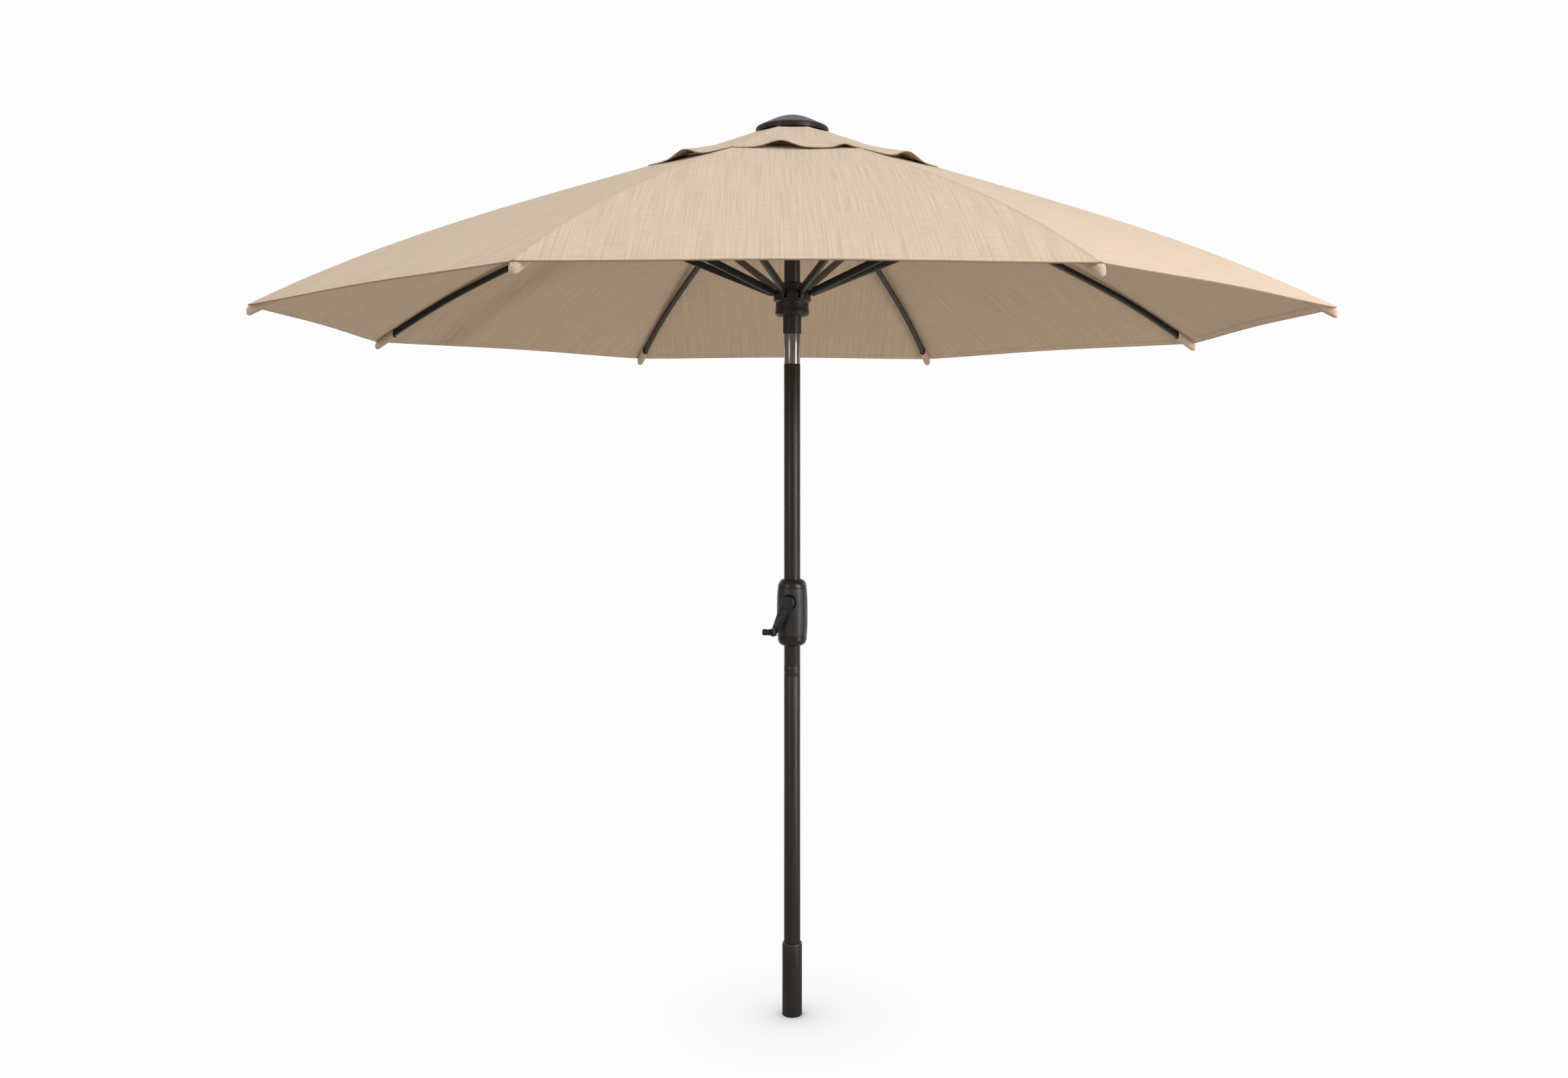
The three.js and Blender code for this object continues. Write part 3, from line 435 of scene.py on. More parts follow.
def through_tree(mesh, tree, material, **values):
    """The plain mesh that a tree makes of a mesh."""
    holder = bpy.data.objects.new("tree holder", mesh)
    bpy.context.scene.collection.objects.link(holder)
    modifier = holder.modifiers.new("Tree", "NODES")
    modifier.node_group = tree
    sockets = {
        item.name: item.identifier
        for item in tree.interface.items_tree
        if item.item_type == "SOCKET" and item.in_out == "INPUT"
    }
    modifier[sockets["Material"]] = material
    for label, value in values.items():
        modifier[sockets[label.replace("_", " ")]] = value
    bpy.context.view_layer.update()
    ready = holder.evaluated_get(bpy.context.evaluated_depsgraph_get())
    made = bpy.data.meshes.new_from_object(ready)
    holder.modifiers.remove(modifier)
    bpy.data.objects.remove(holder)
    bpy.data.meshes.remove(mesh)
    return made


def lines_mesh(lines):
    """Open lines of points, in millimetres, as a mesh of edges."""
    points, edges = [], []
    for line in lines:
        edges += [(len(points) + i, len(points) + i + 1) for i in range(len(line) - 1)]
        points += [[c * MM for c in point] for point in line]
    mesh = bpy.data.meshes.new("lines")
    mesh.from_pydata(points, edges, [])
    return mesh


# ---- Pieces ----
def add_piece(name, mesh, finish, body, replaces=()):
    """A finished mesh as a piece on a CAD body, with its finish and the CAD nodes it stands for."""
    slot, material = FINISHES[finish]
    mesh.name = name
    mesh.materials.clear()
    mesh.materials.append(bpy.data.materials[material])
    piece = bpy.data.objects.new(name, mesh)
    bpy.context.scene.collection.objects.link(piece)
    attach(piece, body)
    if replaces:
        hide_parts(*replaces)
    return piece


FINISHES = {
    "pole": ("pole_bronze", "Bronze powder coat"),
    "frame": ("frame_bronze", "Frame powder coat"),
    "polished": ("polished_tube", "Polished tube"),
    "joiner": ("joiner_tube", "Mill tube"),
    "steel": ("steel", "Zinc plated steel"),
    "black": ("black_plastic", "Black moulded plastic"),
    "housing": ("housing_plastic", "Charcoal moulded plastic"),
    "cap": ("housing_plastic", "Dark moulded plastic"),
    "finial": ("black_plastic", "Finial moulded plastic"),
    "cloth": ("canopy_fabric", "Heathered cloth"),
    "thread": ("canopy_fabric", "Sewing thread"),
}
CARRIED_OVER = {
    "foot_plug": "black",
    "mast_joiner": "joiner",
    "crank_shaft": "steel",
    "cord_spool": "black",
    "top_pulley": "black",
    "pulley_pin": "steel",
    "finial_stud": "steel",
}


# ---- Shader groups ----
SCUFF_STRETCH = (160.0, 160.0, 14.0)


def start_effect(name, inputs, *outputs):
    """A shader group on a vector, with number inputs of {name: default} and number outputs."""
    numbers = [(label, "Float", value) for label, value in inputs.items()]
    outputs = [(label, "Float") for label in outputs]
    return start_tree("ShaderNodeTree", name, [("Vector", "Vector", None), *numbers], outputs)


def stretched(tree, vector, factors):
    values = {0: vector, 1: factors}
    return output(tree, "ShaderNodeVectorMath", values, operation="MULTIPLY")


def noise(tree, vector, scale, detail, roughness):
    values = {"Vector": vector, "Scale": scale, "Detail": detail, "Roughness": roughness}
    return output(tree, "ShaderNodeTexNoise", values)


def ramp(tree, value, low, high, out_low=0.0, out_high=1.0):
    values = {"Value": value, "From Min": low, "From Max": high, "To Min": out_low, "To Max": out_high}
    return output(tree, "ShaderNodeMapRange", values)


def make_grain_group():
    """Fine surface grain, a broad mottle, and scattered light scuffs, on Object coordinates."""
    inputs = {"Grain Scale": 900.0, "Mottle Scale": 9.0, "Scuff Amount": 0.3}
    tree, given = start_effect("Surface grain", inputs, "Height", "Mottle", "Scuff")
    vector = given["Vector"]
    grain = noise(tree, vector, given["Grain Scale"], 3.0, 0.6)
    mottle = noise(tree, vector, given["Mottle Scale"], 4.0, 0.6)
    streaks = noise(tree, stretched(tree, vector, SCUFF_STRETCH), 1.0, 5.0, 0.7)
    scuff = maths(tree, "MULTIPLY", ramp(tree, streaks, 0.62, 0.78), given["Scuff Amount"])
    add_node(tree, "NodeGroupOutput", {"Height": grain, "Mottle": mottle, "Scuff": scuff})


def make_weave_group():
    """Slubbed warp and weft, colour blotches and the crossing threads, on cloth coordinates in metres."""
    inputs = {"Slub Pitch": 0.005, "Slub Length": 0.3, "Thread Pitch": 0.0014}
    tree, given = start_effect("Slub weave", inputs, "Warp", "Weft", "Blotch", "Height")
    vector = given["Vector"]
    across = maths(tree, "DIVIDE", 1.0, given["Slub Pitch"])
    along = maths(tree, "DIVIDE", 1.0, given["Slub Length"])

    def streaks(x, y, broader, longer):
        """Noise drawn out along one thread direction."""
        scale = output(tree, "ShaderNodeCombineXYZ", {"X": x, "Y": y, "Z": 1.0})
        scale = stretched(tree, scale, (1 / broader, 1 / longer, 1.0))
        return noise(tree, stretched(tree, vector, scale), 1.0, 1.0, 0.45)

    broad = streaks(across, along, 4.0, 1.6)
    fine = streaks(across, along, 0.75, 1.0)
    warp = maths(tree, "MULTIPLY_ADD", broad, 0.14, maths(tree, "MULTIPLY", fine, 0.86))
    weft = streaks(along, across, 0.18, 0.85)
    blotch = streaks(across, along, 6.5, 0.2)
    parts = add_node(tree, "ShaderNodeSeparateXYZ", {0: vector}).outputs
    tick = maths(tree, "MULTIPLY", parts[0], maths(tree, "MULTIPLY", across, 4.7))
    ticks = maths(tree, "SINE", maths(tree, "MULTIPLY_ADD", broad, 9.0, tick))
    ribbed = maths(tree, "MULTIPLY_ADD", ticks, 0.03, warp)
    turn = maths(tree, "DIVIDE", 2 * math.pi, given["Thread Pitch"])
    waves = [maths(tree, "SINE", maths(tree, "MULTIPLY", parts[i], turn)) for i in (0, 1)]
    height = maths(tree, "MULTIPLY_ADD", warp, 0.8, maths(tree, "MULTIPLY", *waves))
    values = {"Warp": ribbed, "Weft": weft, "Blotch": blotch, "Height": height}
    add_node(tree, "NodeGroupOutput", values)


# ---- Materials ----
def start_material(name, **sockets):
    """A material, its node tree and its shader, with constant values on the shader's own sockets."""
    material = bpy.data.materials.new(name)
    material.use_nodes = True
    tree = material.node_tree
    shader = tree.nodes["Principled BSDF"]
    for label, value in sockets.items():
        shader.inputs[label.replace("_", " ")].default_value = value
    return tree, shader


def place_group(tree, name, vector, **values):
    group = tree.nodes.new("ShaderNodeGroup")
    group.node_tree = bpy.data.node_groups[name]
    tree.links.new(vector, group.inputs["Vector"])
    for label, value in values.items():
        group.inputs[label.replace("_", " ")].default_value = value
    return group.outputs


def mixed(tree, factor, first, second):
    """A colour between two colours or sockets."""
    mix = add_node(tree, "ShaderNodeMix", data_type="RGBA")
    for index, value in ((0, factor), (6, first), (7, second)):
        if isinstance(value, bpy.types.NodeSocket):
            tree.links.new(value, mix.inputs[index])
        else:
            mix.inputs[index].default_value = value
    return mix.outputs[2]


def bump(tree, shader, height, strength, distance):
    values = {"Height": height, "Strength": strength, "Distance": distance}
    tree.links.new(output(tree, "ShaderNodeBump", values), shader.inputs["Normal"])


def object_place(tree):
    return add_node(tree, "ShaderNodeTexCoord").outputs["Object"]


def shade(colour, share):
    return (*(c * share for c in colour[:3]), 1.0)


def make_coating(name, colour, roughness, grain, depth, scuff=0.3, metal=0.0, mottle=9.0, **sockets):
    """A painted or moulded surface: its colour and gloss vary a little, and its grain is fine."""
    tree, shader = start_material(name, Metallic=metal, **sockets)
    place = object_place(tree)
    effect = place_group(
        tree, "Surface grain", place, Grain_Scale=grain, Mottle_Scale=mottle, Scuff_Amount=scuff
    )
    uneven = mixed(tree, effect["Mottle"], shade(colour, 0.82), shade(colour, 1.2))
    worn = mixed(tree, effect["Scuff"], uneven, shade(colour, 2.2))
    tree.links.new(worn, shader.inputs["Base Color"])
    gloss = ramp(tree, effect["Mottle"], 0.3, 0.7, roughness - 0.04, roughness + 0.05)
    dull = maths(tree, "MULTIPLY_ADD", effect["Scuff"], 0.25, gloss)
    tree.links.new(dull, shader.inputs["Roughness"])
    bump(tree, shader, effect["Height"], 0.35, depth)


def make_polished():
    """A bright drawn tube: fine lines along it, and a faint grey bloom."""
    tree, shader = start_material("Polished tube", Metallic=1.0)
    place = object_place(tree)
    drawn = output(tree, "ShaderNodeMapping", {"Vector": place, "Scale": (900.0, 900.0, 6.0)})
    lines = noise(tree, drawn, 1.0, 3.0, 0.6)
    bloom = noise(tree, place, 25.0, 3.0, 0.6)
    colour = mixed(tree, bloom, (0.235, 0.212, 0.2, 1), (0.325, 0.296, 0.28, 1))
    tree.links.new(colour, shader.inputs["Base Color"])
    gloss = ramp(tree, lines, 0.3, 0.7, 0.16, 0.26)
    tree.links.new(gloss, shader.inputs["Roughness"])
    bump(tree, shader, lines, 0.08, 0.0004)


def make_cloth(settings):
    """Solution-dyed cloth: pale warp with darker slubs, pinkish blotches, and painted shade along hem folds
    and pocket lips.
    """
    shine = {"Sheen_Weight": 0.12, "Sheen_Roughness": 0.5, "Specular_IOR_Level": 0.2}
    tree, shader = start_material("Heathered cloth", Roughness=0.9, **shine)
    place = output(tree, "ShaderNodeUVMap", uv_map="cloth")
    sizes = {"Slub_Pitch": settings.slub_pitch, "Slub_Length": settings.slub_length}
    effect = place_group(tree, "Slub weave", place, Thread_Pitch=settings.thread_pitch, **sizes)
    slub = (*settings.slub_colour, 1)
    warp = ramp(tree, effect["Warp"], 0.32, 0.62)
    base = mixed(tree, warp, slub, (*settings.warp_colour, 1))
    weft = ramp(tree, effect["Weft"], 0.48, 0.7, 0.0, 0.7)
    crossed = mixed(tree, weft, base, slub)
    warm = ramp(tree, effect["Blotch"], 0.5, 0.75, 0.0, 0.6)
    warmed = mixed(tree, warm, crossed, (*settings.blotch_colour, 1))
    grey = ramp(tree, effect["Blotch"], 0.5, 0.25, 0.0, 0.5)
    tinted = mixed(tree, grey, warmed, (*settings.grey_colour, 1))
    # Painted shade: the mesh's mask mixes dark brown in along the hem's fold and the pockets' lips.
    edge = add_node(tree, "ShaderNodeAttribute", attribute_name="hem_fold_shade").outputs["Fac"]
    fold_shaded = mixed(tree, edge, tinted, (*settings.hem_shade_colour, 1))
    tree.links.new(fold_shaded, shader.inputs["Base Color"])
    bump(tree, shader, effect["Height"], 0.5, 0.0004)


def make_thread(settings):
    tree, shader = start_material("Sewing thread", Roughness=0.65, Sheen_Weight=0.2)
    place = object_place(tree)
    twist = noise(tree, place, 700.0, 2.0, 0.5)
    colour = shade(settings.warp_colour, 0.86)
    tree.links.new(mixed(tree, twist, shade(colour, 0.8), colour), shader.inputs["Base Color"])
    bump(tree, shader, twist, 0.4, 0.0002)


# ---- Settings ----
def colour_setting(name, description, value):
    return FloatVectorProperty(
        name=name, description=description, subtype="COLOR", default=value, min=0, max=1
    )


def share_setting(name, description, value, low):
    return FloatProperty(
        name=name, description=description, subtype="FACTOR", default=value, min=low, max=1
    )


def length_setting(name, description, value, low, high):
    limits = {"default": value, "min": low, "max": high}
    return FloatProperty(
        name=name, description=description, subtype="DISTANCE", unit="LENGTH", **limits
    )


class UMBRELLA_PG_coatings(bpy.types.PropertyGroup):
    """Colours and gloss of the pole, the frame and the plastics."""

    pole_colour: colour_setting(
        "Pole Colour", "Colour of the powder coat on the pole", (0.0165, 0.0135, 0.0115)
    )
    frame_colour: colour_setting(
        "Frame Colour", "Colour of the powder coat on the ribs and struts", (0.007, 0.0062, 0.0058)
    )
    black_colour: colour_setting(
        "Black Plastic", "Colour of the runner, hub and crank", (0.008, 0.0078, 0.0078)
    )
    housing_colour: colour_setting(
        "Housing Colour", "Colour of the crank housing", (0.0215, 0.0215, 0.021)
    )
    cap_colour: colour_setting(
        "Housing Cap Colour", "Colour of the crank housing's two caps", (0.0145, 0.0128, 0.0112)
    )
    finial_colour: colour_setting("Finial Colour", "Colour of the finial", (0.0125, 0.0098, 0.0088))
    pole_roughness: share_setting("Pole Roughness", "How matt the powder coat is", 0.36, 0.1)


class UMBRELLA_PG_cover(bpy.types.PropertyGroup):
    """Cloth, hems and stitches of the cover."""

    warp_colour: colour_setting("Warp Colour", "Colour of the pale warp threads", (0.7, 0.555, 0.405))
    slub_colour: colour_setting("Slub Colour", "Colour of the darker slubs", (0.56, 0.432, 0.306))
    blotch_colour: colour_setting(
        "Blotch Colour", "Colour of the faint warm blotches", (0.68, 0.5, 0.365)
    )
    grey_colour: colour_setting("Grey Blotch", "Colour of the faint grey blotches", (0.6, 0.505, 0.375))
    # Dark brown of the painted shade along the hem's fold and the pockets' lips.
    hem_shade_colour: colour_setting("Hem Fold Shade", "Colour of the fold at a hem's edge", (0.3, 0.215, 0.15))
    slub_pitch: length_setting(
        "Slub Pitch", "Distance between neighbouring slubs", 0.0048, 0.001, 0.05
    )
    slub_length: length_setting("Slub Length", "How long a slub runs", 0.32, 0.01, 1)
    thread_pitch: length_setting(
        "Thread Pitch", "Distance between neighbouring threads", 0.0016, 0.0005, 0.01
    )
    cloth_thickness: length_setting(
        "Cloth Thickness", "Thickness of one layer of cloth", 0.0013, 0.0005, 0.003
    )
    hem_width: length_setting(
        "Hem Width", "Width of the fold along the cover's edge", 0.022, 0.005, 0.05
    )
    panel_sag: length_setting("Panel Sag", "How far a panel dips between its ribs", 0.005, 0, 0.02)
    stitch_pitch: length_setting("Stitch Pitch", "Distance between stitches", 0.005, 0.002, 0.02)
    folded_share: share_setting(
        "Folded Share", "Width that a panel keeps when the frame is folded", 0.1, 0.05
    )


class UMBRELLA_PG_stage(bpy.types.PropertyGroup):
    """Camera, lights and floor."""

    distance: length_setting("Distance", "Distance of the camera from the mast", 3.974, 1, 20)
    eye_height: length_setting("Eye Height", "Height of the camera above the floor", 1.655, 0.1, 5)
    turn: FloatProperty(
        name="Turn",
        description="How far the camera stands to the left of the front",
        subtype="ANGLE",
        unit="ROTATION",
        default=math.radians(1.34),
        min=-math.pi,
        max=math.pi,
    )
    lens: FloatProperty(
        name="Lens",
        description="Focal length on a 36 mm sensor, in millimetres",
        default=31.08,
        min=10,
        max=200,
    )


# ---- Operators ----
class UMBRELLA_OT_finishes(bpy.types.Operator):
    """Make the finishes and the trees that the pieces use"""

    bl_idname = "umbrella.finishes"
    bl_label = "Finishes"

    def execute(self, context):
        make_tube_tree()
        make_stitch_tree()
        make_ring_tree()
        make_grain_group()
        make_weave_group()
        coats, cover = context.scene.umbrella_coatings, context.scene.umbrella_cover
        paint, plastic = 1400, 2200
        make_coating(
            "Bronze powder coat", coats.pole_colour, coats.pole_roughness, paint, 0.0002, scuff=0.16
        )
        make_coating("Frame powder coat", coats.frame_colour, 0.3, paint, 0.00015, scuff=0.08)
        make_coating("Black moulded plastic", coats.black_colour, 0.42, plastic, 0.00012, mottle=30)
        make_coating("Charcoal moulded plastic", coats.housing_colour, 0.4, plastic, 0.0001, mottle=30)
        make_coating("Dark moulded plastic", coats.cap_colour, 0.3, plastic, 0.0001, mottle=30)
        dull = {"mottle": 30, "Specular_IOR_Level": 0.3}
        make_coating("Finial moulded plastic", coats.finial_colour, 0.36, plastic, 0.0001, **dull)
        make_coating("Mill tube", (0.5, 0.5, 0.51), 0.4, 500, 0.0001, metal=1.0)
        make_coating("Zinc plated steel", (0.45, 0.45, 0.46), 0.32, 900, 0.0001, metal=1.0)
        make_polished()
        make_cloth(cover)
        make_thread(cover)
        for node, finish in CARRIED_OVER.items():
            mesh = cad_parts[node].data
            mesh.materials.clear()
            mesh.materials.append(bpy.data.materials[FINISHES[finish][1]])
        return {"FINISHED"}


def add_tube(name, node, outer, bore, edge, finish="pole", body="root"):
    """A plain tube as long as the CAD node that it stands for."""
    low, high = span(node)
    outline = softened([(bore, low), (outer, low), (outer, high), (bore, high)], edge, 2)
    add_piece(name, turned(outline, FINE_TURN), finish, body, [node])


class UMBRELLA_OT_pole(bpy.types.Operator):
    """Make the foot sleeve, both pole halves, their joint and the mast"""

    bl_idname = "umbrella.pole"
    bl_label = "Pole and Mast"

    def execute(self, context):
        bore = POLE_RADIUS + FIT_GAP
        low, high = span("foot_sleeve")
        sleeve = [
            (bore, low),
            (FOOT_RADIUS - 1.6, low),
            (FOOT_RADIUS - 0.4, low + 0.5),
            (FOOT_RADIUS, low + 2),
            *flowing([(FOOT_RADIUS, high - 5), (FOOT_RADIUS - 1.1, high - 1.6), (bore + 1.2, high)]),
            (bore, high - 0.4),
        ]
        sleeve = turned(sleeve, FINE_TURN)
        add_piece("foot_sleeve_cover", sleeve, "pole", "root", ["foot_sleeve"])
        add_tube("lower_pole_tube", "lower_pole", POLE_RADIUS, POLE_BORE, 0.9)

        low, high = span("pole_joiner")
        ring_low, ring_high = span("lower_pole")[1] + FIT_GAP, span("upper_pole")[0] - FIT_GAP
        spigot = POLE_BORE - FIT_GAP
        inside = spigot - SPIGOT_WALL
        joiner = [(inside, low), (spigot, low), (spigot, ring_low), (POLE_RADIUS, ring_low)]
        joiner += [(POLE_RADIUS, ring_high), (spigot, ring_high), (spigot, high), (inside, high)]
        joiner = turned(softened(joiner, 0.9, 2), FINE_TURN)
        add_piece("pole_joint_ring", joiner, "pole", "root", ["pole_joiner"])
        add_tube("upper_pole_tube", "upper_pole", POLE_RADIUS, POLE_BORE, 0.9)
        bore = POLISHED_RADIUS - MAST_WALL
        add_tube("polished_tube", "polished_mast_section", POLISHED_RADIUS, bore, 0.5, "polished")
        add_tube("mast_tube", "mast_top_tube", MAST_RADIUS, MAST_RADIUS - MAST_WALL, 0.5)
        return {"FINISHED"}


class UMBRELLA_OT_housing(bpy.types.Operator):
    """Make the crank housing's barrel, its two caps and the bearing ring"""

    bl_idname = "umbrella.housing"
    bl_label = "Crank Housing"

    def execute(self, context):
        low, high = span("crank_housing")
        middle = 0.56 * low + 0.44 * high
        bore = POLE_RADIUS + FIT_GAP
        barrel = []
        for height in np.linspace(low, high, 25):
            reach, taper = (middle - low, 2.0) if height < middle else (high - middle, 2.6)
            away = abs(height - middle) / reach
            barrel.append((HOUSING_RADIUS - taper * away**3, height))
        inside = [(radius - HOUSING_WALL, height) for radius, height in reversed(barrel)]
        edge_low = [(barrel[0][0] - 0.9, low), (barrel[0][0] - 0.15, low + 0.8)]
        edge_high = [(barrel[-1][0] - 0.15, high - 0.8), (barrel[-1][0] - 0.9, high)]
        body = [*edge_low, *barrel[1:-1], *edge_high, *inside]
        body = turned(body, FINE_TURN)
        add_piece("housing_barrel", body, "housing", "root", ["crank_housing"])

        cap_low, cap_high = span("housing_top_cap")
        rim = barrel[-1][0] - 0.2
        inside = rim - CAP_WALL
        angles = np.linspace(0.12, math.pi / 2, 14)
        neck, base = bore + 0.6, cap_low + CAP_LIP
        dome = [
            (neck + (rim - neck) * math.cos(a), base + (cap_high - base) * math.sin(a)) for a in angles
        ]
        lining = [(bore, cap_high - 1), (bore, cap_low + 14), (inside, cap_low + 6), (inside, cap_low)]
        top = [(rim - CAP_LIP, cap_low), (rim - 0.1, cap_low + 0.7), *dome, *lining]
        top = turned(top, FINE_TURN)
        add_piece("housing_top_dome", top, "cap", "root", ["housing_top_cap"])

        cap_low, cap_high = span("housing_bottom_cap")
        rim = barrel[0][0] - 0.2
        inside, turn = rim - CAP_WALL, cap_high - 8
        bowl = [
            (neck + (rim - 0.2 - neck) * math.cos(a), turn - (turn - cap_low) * math.sin(a))
            for a in reversed(angles)
        ]
        groove = [(0.2, 7.4), (1.1, 7.0), (1.1, 6.2), (0.1, 5.8), (0, 5), (0, 0.7), (CAP_LIP, 0)]
        groove = [(rim - depth, cap_high - drop) for depth, drop in groove]
        lining = [(inside, cap_high), (inside, turn), (bore, cap_low + 14), (bore, cap_low + 1)]
        bottom = turned([*bowl, *groove, *lining], FINE_TURN)
        add_piece("housing_bottom_bowl", bottom, "cap", "root", ["housing_bottom_cap"])

        front = HOUSING_RADIUS + 5
        back, recess = front - 13, front - 4
        ring = [(SHAFT_HOLE, back), (BEARING_RADIUS, back), (BEARING_RADIUS, front)]
        ring += [(BEARING_RECESS, front), (BEARING_RECESS, recess), (SHAFT_HOLE, recess)]
        ring = turned(softened(ring, 1.1, 3), 72, forward(CRANK_Z))
        add_piece("crank_bearing_ring", ring, "black", "root", ["crank_bearing"])
        return {"FINISHED"}


class UMBRELLA_OT_crank(bpy.types.Operator):
    """Make the crank arm, its boss cap, the folding knob's hinge, stem and grip"""

    bl_idname = "umbrella.crank"
    bl_label = "Crank"

    def execute(self, context):
        knob_x = -ARM_LENGTH * math.sin(ARM_ANGLE)
        knob_z = CRANK_Z - ARM_LENGTH * math.cos(ARM_ANGLE)
        down = -math.pi / 2 - ARM_ANGLE
        side = math.pi / 2 - math.asin((BOSS_RADIUS - TIP_RADIUS) / ARM_LENGTH)
        outline = [
            *arc(0, CRANK_Z, BOSS_RADIUS, down + side, down - side + 2 * math.pi, 40),
            *arc(knob_x, knob_z, TIP_RADIUS, down - side, down + side, 18),
        ]
        hole = arc(0, CRANK_Z, SHAFT_HOLE, 0, 2 * math.pi, 24)[:-1]
        plate_place = CRANK_SIDE @ Matrix.Translation((0, -(ARM_BACK + ARM_FRONT) / 2, 0)) @ UPRIGHT
        parts = [block(outline, [hole], ARM_FRONT - ARM_BACK, 1.6, plate_place)]
        reach = KNOB_DEPTH - ARM_FRONT + 3
        lobe = STEM_RADIUS + EAR_WALL
        ear = [
            (knob_x + lobe, -KNOB_DEPTH + reach),
            *arc(knob_x, -KNOB_DEPTH, lobe, 0, -math.pi, 20),
            (knob_x - lobe, -KNOB_DEPTH + reach),
        ]
        for height in (knob_z - STEM_RADIUS - EAR_CLEARANCE, knob_z + STEM_RADIUS + EAR_CLEARANCE):
            place = CRANK_SIDE @ Matrix.Translation((0, 0, height))
            parts.append(block(ear, [], EAR_THICKNESS, 0.9, place))
        add_piece("crank_arm_moulding", joined(parts), "black", "crank", ["crank_arm"])

        back = ARM_FRONT + FIT_GAP
        cap = [(0, back), (BOSS_RADIUS, back), (BOSS_RADIUS, back + 5)]
        cap += flowing([(BOSS_RADIUS - 0.5, back + 6), (BOSS_RADIUS - 2.4, back + 6.8), (9, back + 7)])
        cap.append((0, back + 7))
        cap = turned(cap, 72, forward(CRANK_Z))
        add_piece("crank_boss", cap, "black", "crank", ["crank_boss_cap"])

        pivot = CRANK_SIDE @ Matrix.Translation((knob_x, -KNOB_DEPTH, knob_z))
        head = STEM_RADIUS + 3 + FIT_GAP
        end = [(PIN_RADIUS, 0), (PIN_HEAD_RADIUS, 0), (PIN_HEAD_RADIUS, 0.9), (2.6, 1.7), (0, 2)]
        pin = [(radius, -head - rise) for radius, rise in reversed(end)]
        pin += [(radius, head + rise) for radius, rise in end]
        add_piece("knob_pin", turned(pin, 32, pivot), "steel", "crank", ["knob_hinge_pin"])
        half = STEM_RADIUS - FIT_GAP
        barrel = [(0, -half), (BARREL_RADIUS, -half), (BARREL_RADIUS, half), (0, half)]
        sideways = pivot @ Matrix.Rotation(-math.pi / 2, 4, "Y")
        tip = STEM_RADIUS + SPINDLE_REACH
        spindle = [(0, 0), (SPINDLE_RADIUS, 0), (SPINDLE_RADIUS, tip), (0, tip)]
        parts = [turned(softened(barrel, 0.6, 2), 40, pivot)]
        parts.append(turned(softened(spindle, 0.5, 2), 32, sideways))
        add_piece("knob_stem_moulding", joined(parts), "black", "knob_carrier", ["knob_stem"])

        start = STEM_RADIUS + GRIP_GAP
        grip = [(8.0, 0.2), (8.9, 2.4), (8.9, 5), (8.5, 9.5), (9.0, 14), (9.4, 17.8)]
        grip += [(8.6, 21.2), (5.6, 23.2), (0.5, GRIP_LENGTH)]
        grip = [(radius, start + rise) for radius, rise in grip]
        bore = SPINDLE_RADIUS + FIT_GAP
        outline = [(0, start + 21), (bore, start + 21), (bore, start), (6.6, start), *flowing(grip, 5)]
        outline[-1] = (0, start + GRIP_LENGTH)
        add_piece("knob_handle", turned(outline, 48, sideways), "black", "knob", ["knob_grip"])
        return {"FINISHED"}


def castle(bottom, top, outer):
    """Blocks between the hinge slots of the runner or the hub."""
    inner = SLOT_FLOOR - 1.5
    outer_end = HALF_PANEL - math.asin(SLOT_HALF / outer)
    inner_end = HALF_PANEL - math.asin(SLOT_HALF / inner)
    outline = [*arc(0, 0, outer, -outer_end, outer_end, 8), *arc(0, 0, inner, inner_end, -inner_end, 4)]
    tooth = block(outline, [], top - bottom, 0.9, Matrix.Translation((0, 0, (bottom + top) / 2)))
    tree = bpy.data.node_groups["Ring of copies"]
    black = bpy.data.materials["Black moulded plastic"]
    blocks = through_tree(tooth, tree, black, Count=RIB_COUNT, First_Angle=-math.pi / 2)
    return close_up(blocks)


def wire_ring(height):
    return turned(arc(HINGE_RADIUS, height, WIRE_RADIUS, 0, 2 * math.pi, 12)[:-1], 72)


class UMBRELLA_OT_runner(bpy.types.Operator):
    """Make the runner's castle, its guide sleeve and the struts' hinge wire"""

    bl_idname = "umbrella.runner"
    bl_label = "Runner"

    def execute(self, context):
        bottom, top = span("runner_body")
        sleeve = RUNNER_SLEEVE_RADIUS
        bore = sleeve + FIT_GAP
        flange_top = RUNNER_HINGE_Z - FLANGE_DROP
        teeth_top = RUNNER_HINGE_Z + TEETH_RISE
        rim, flange = HINGE_RADIUS - 0.6, HINGE_RADIUS + 5.3
        body = [(bore, bottom), (rim - 5, bottom), (rim, bottom + 5), (rim, bottom + 17)]
        body += [(rim - 1.0, bottom + 19), (rim - 1.0, flange_top - 10), (flange, flange_top - 6)]
        body += [(flange, flange_top), (SLOT_FLOOR, flange_top), (SLOT_FLOOR, teeth_top)]
        body += [(36, teeth_top + 1), (35, teeth_top + 4), (35, top - 6), (30, top), (bore, top)]
        parts = [turned(softened(body, 1.5, 3), FINE_TURN)]
        parts.append(castle(flange_top - 1, teeth_top, flange - 1.5))
        add_piece("runner_castle", joined(parts), "black", "runner", ["runner_body"])
        bore = RUNNER_SLEEVE_BORE
        add_tube("runner_guide", "runner_sleeve", sleeve, bore, 0.9, "black", "runner")
        wire = wire_ring(RUNNER_HINGE_Z)
        add_piece("runner_wire", wire, "steel", "runner", ["runner_wire_ring"])
        return {"FINISHED"}


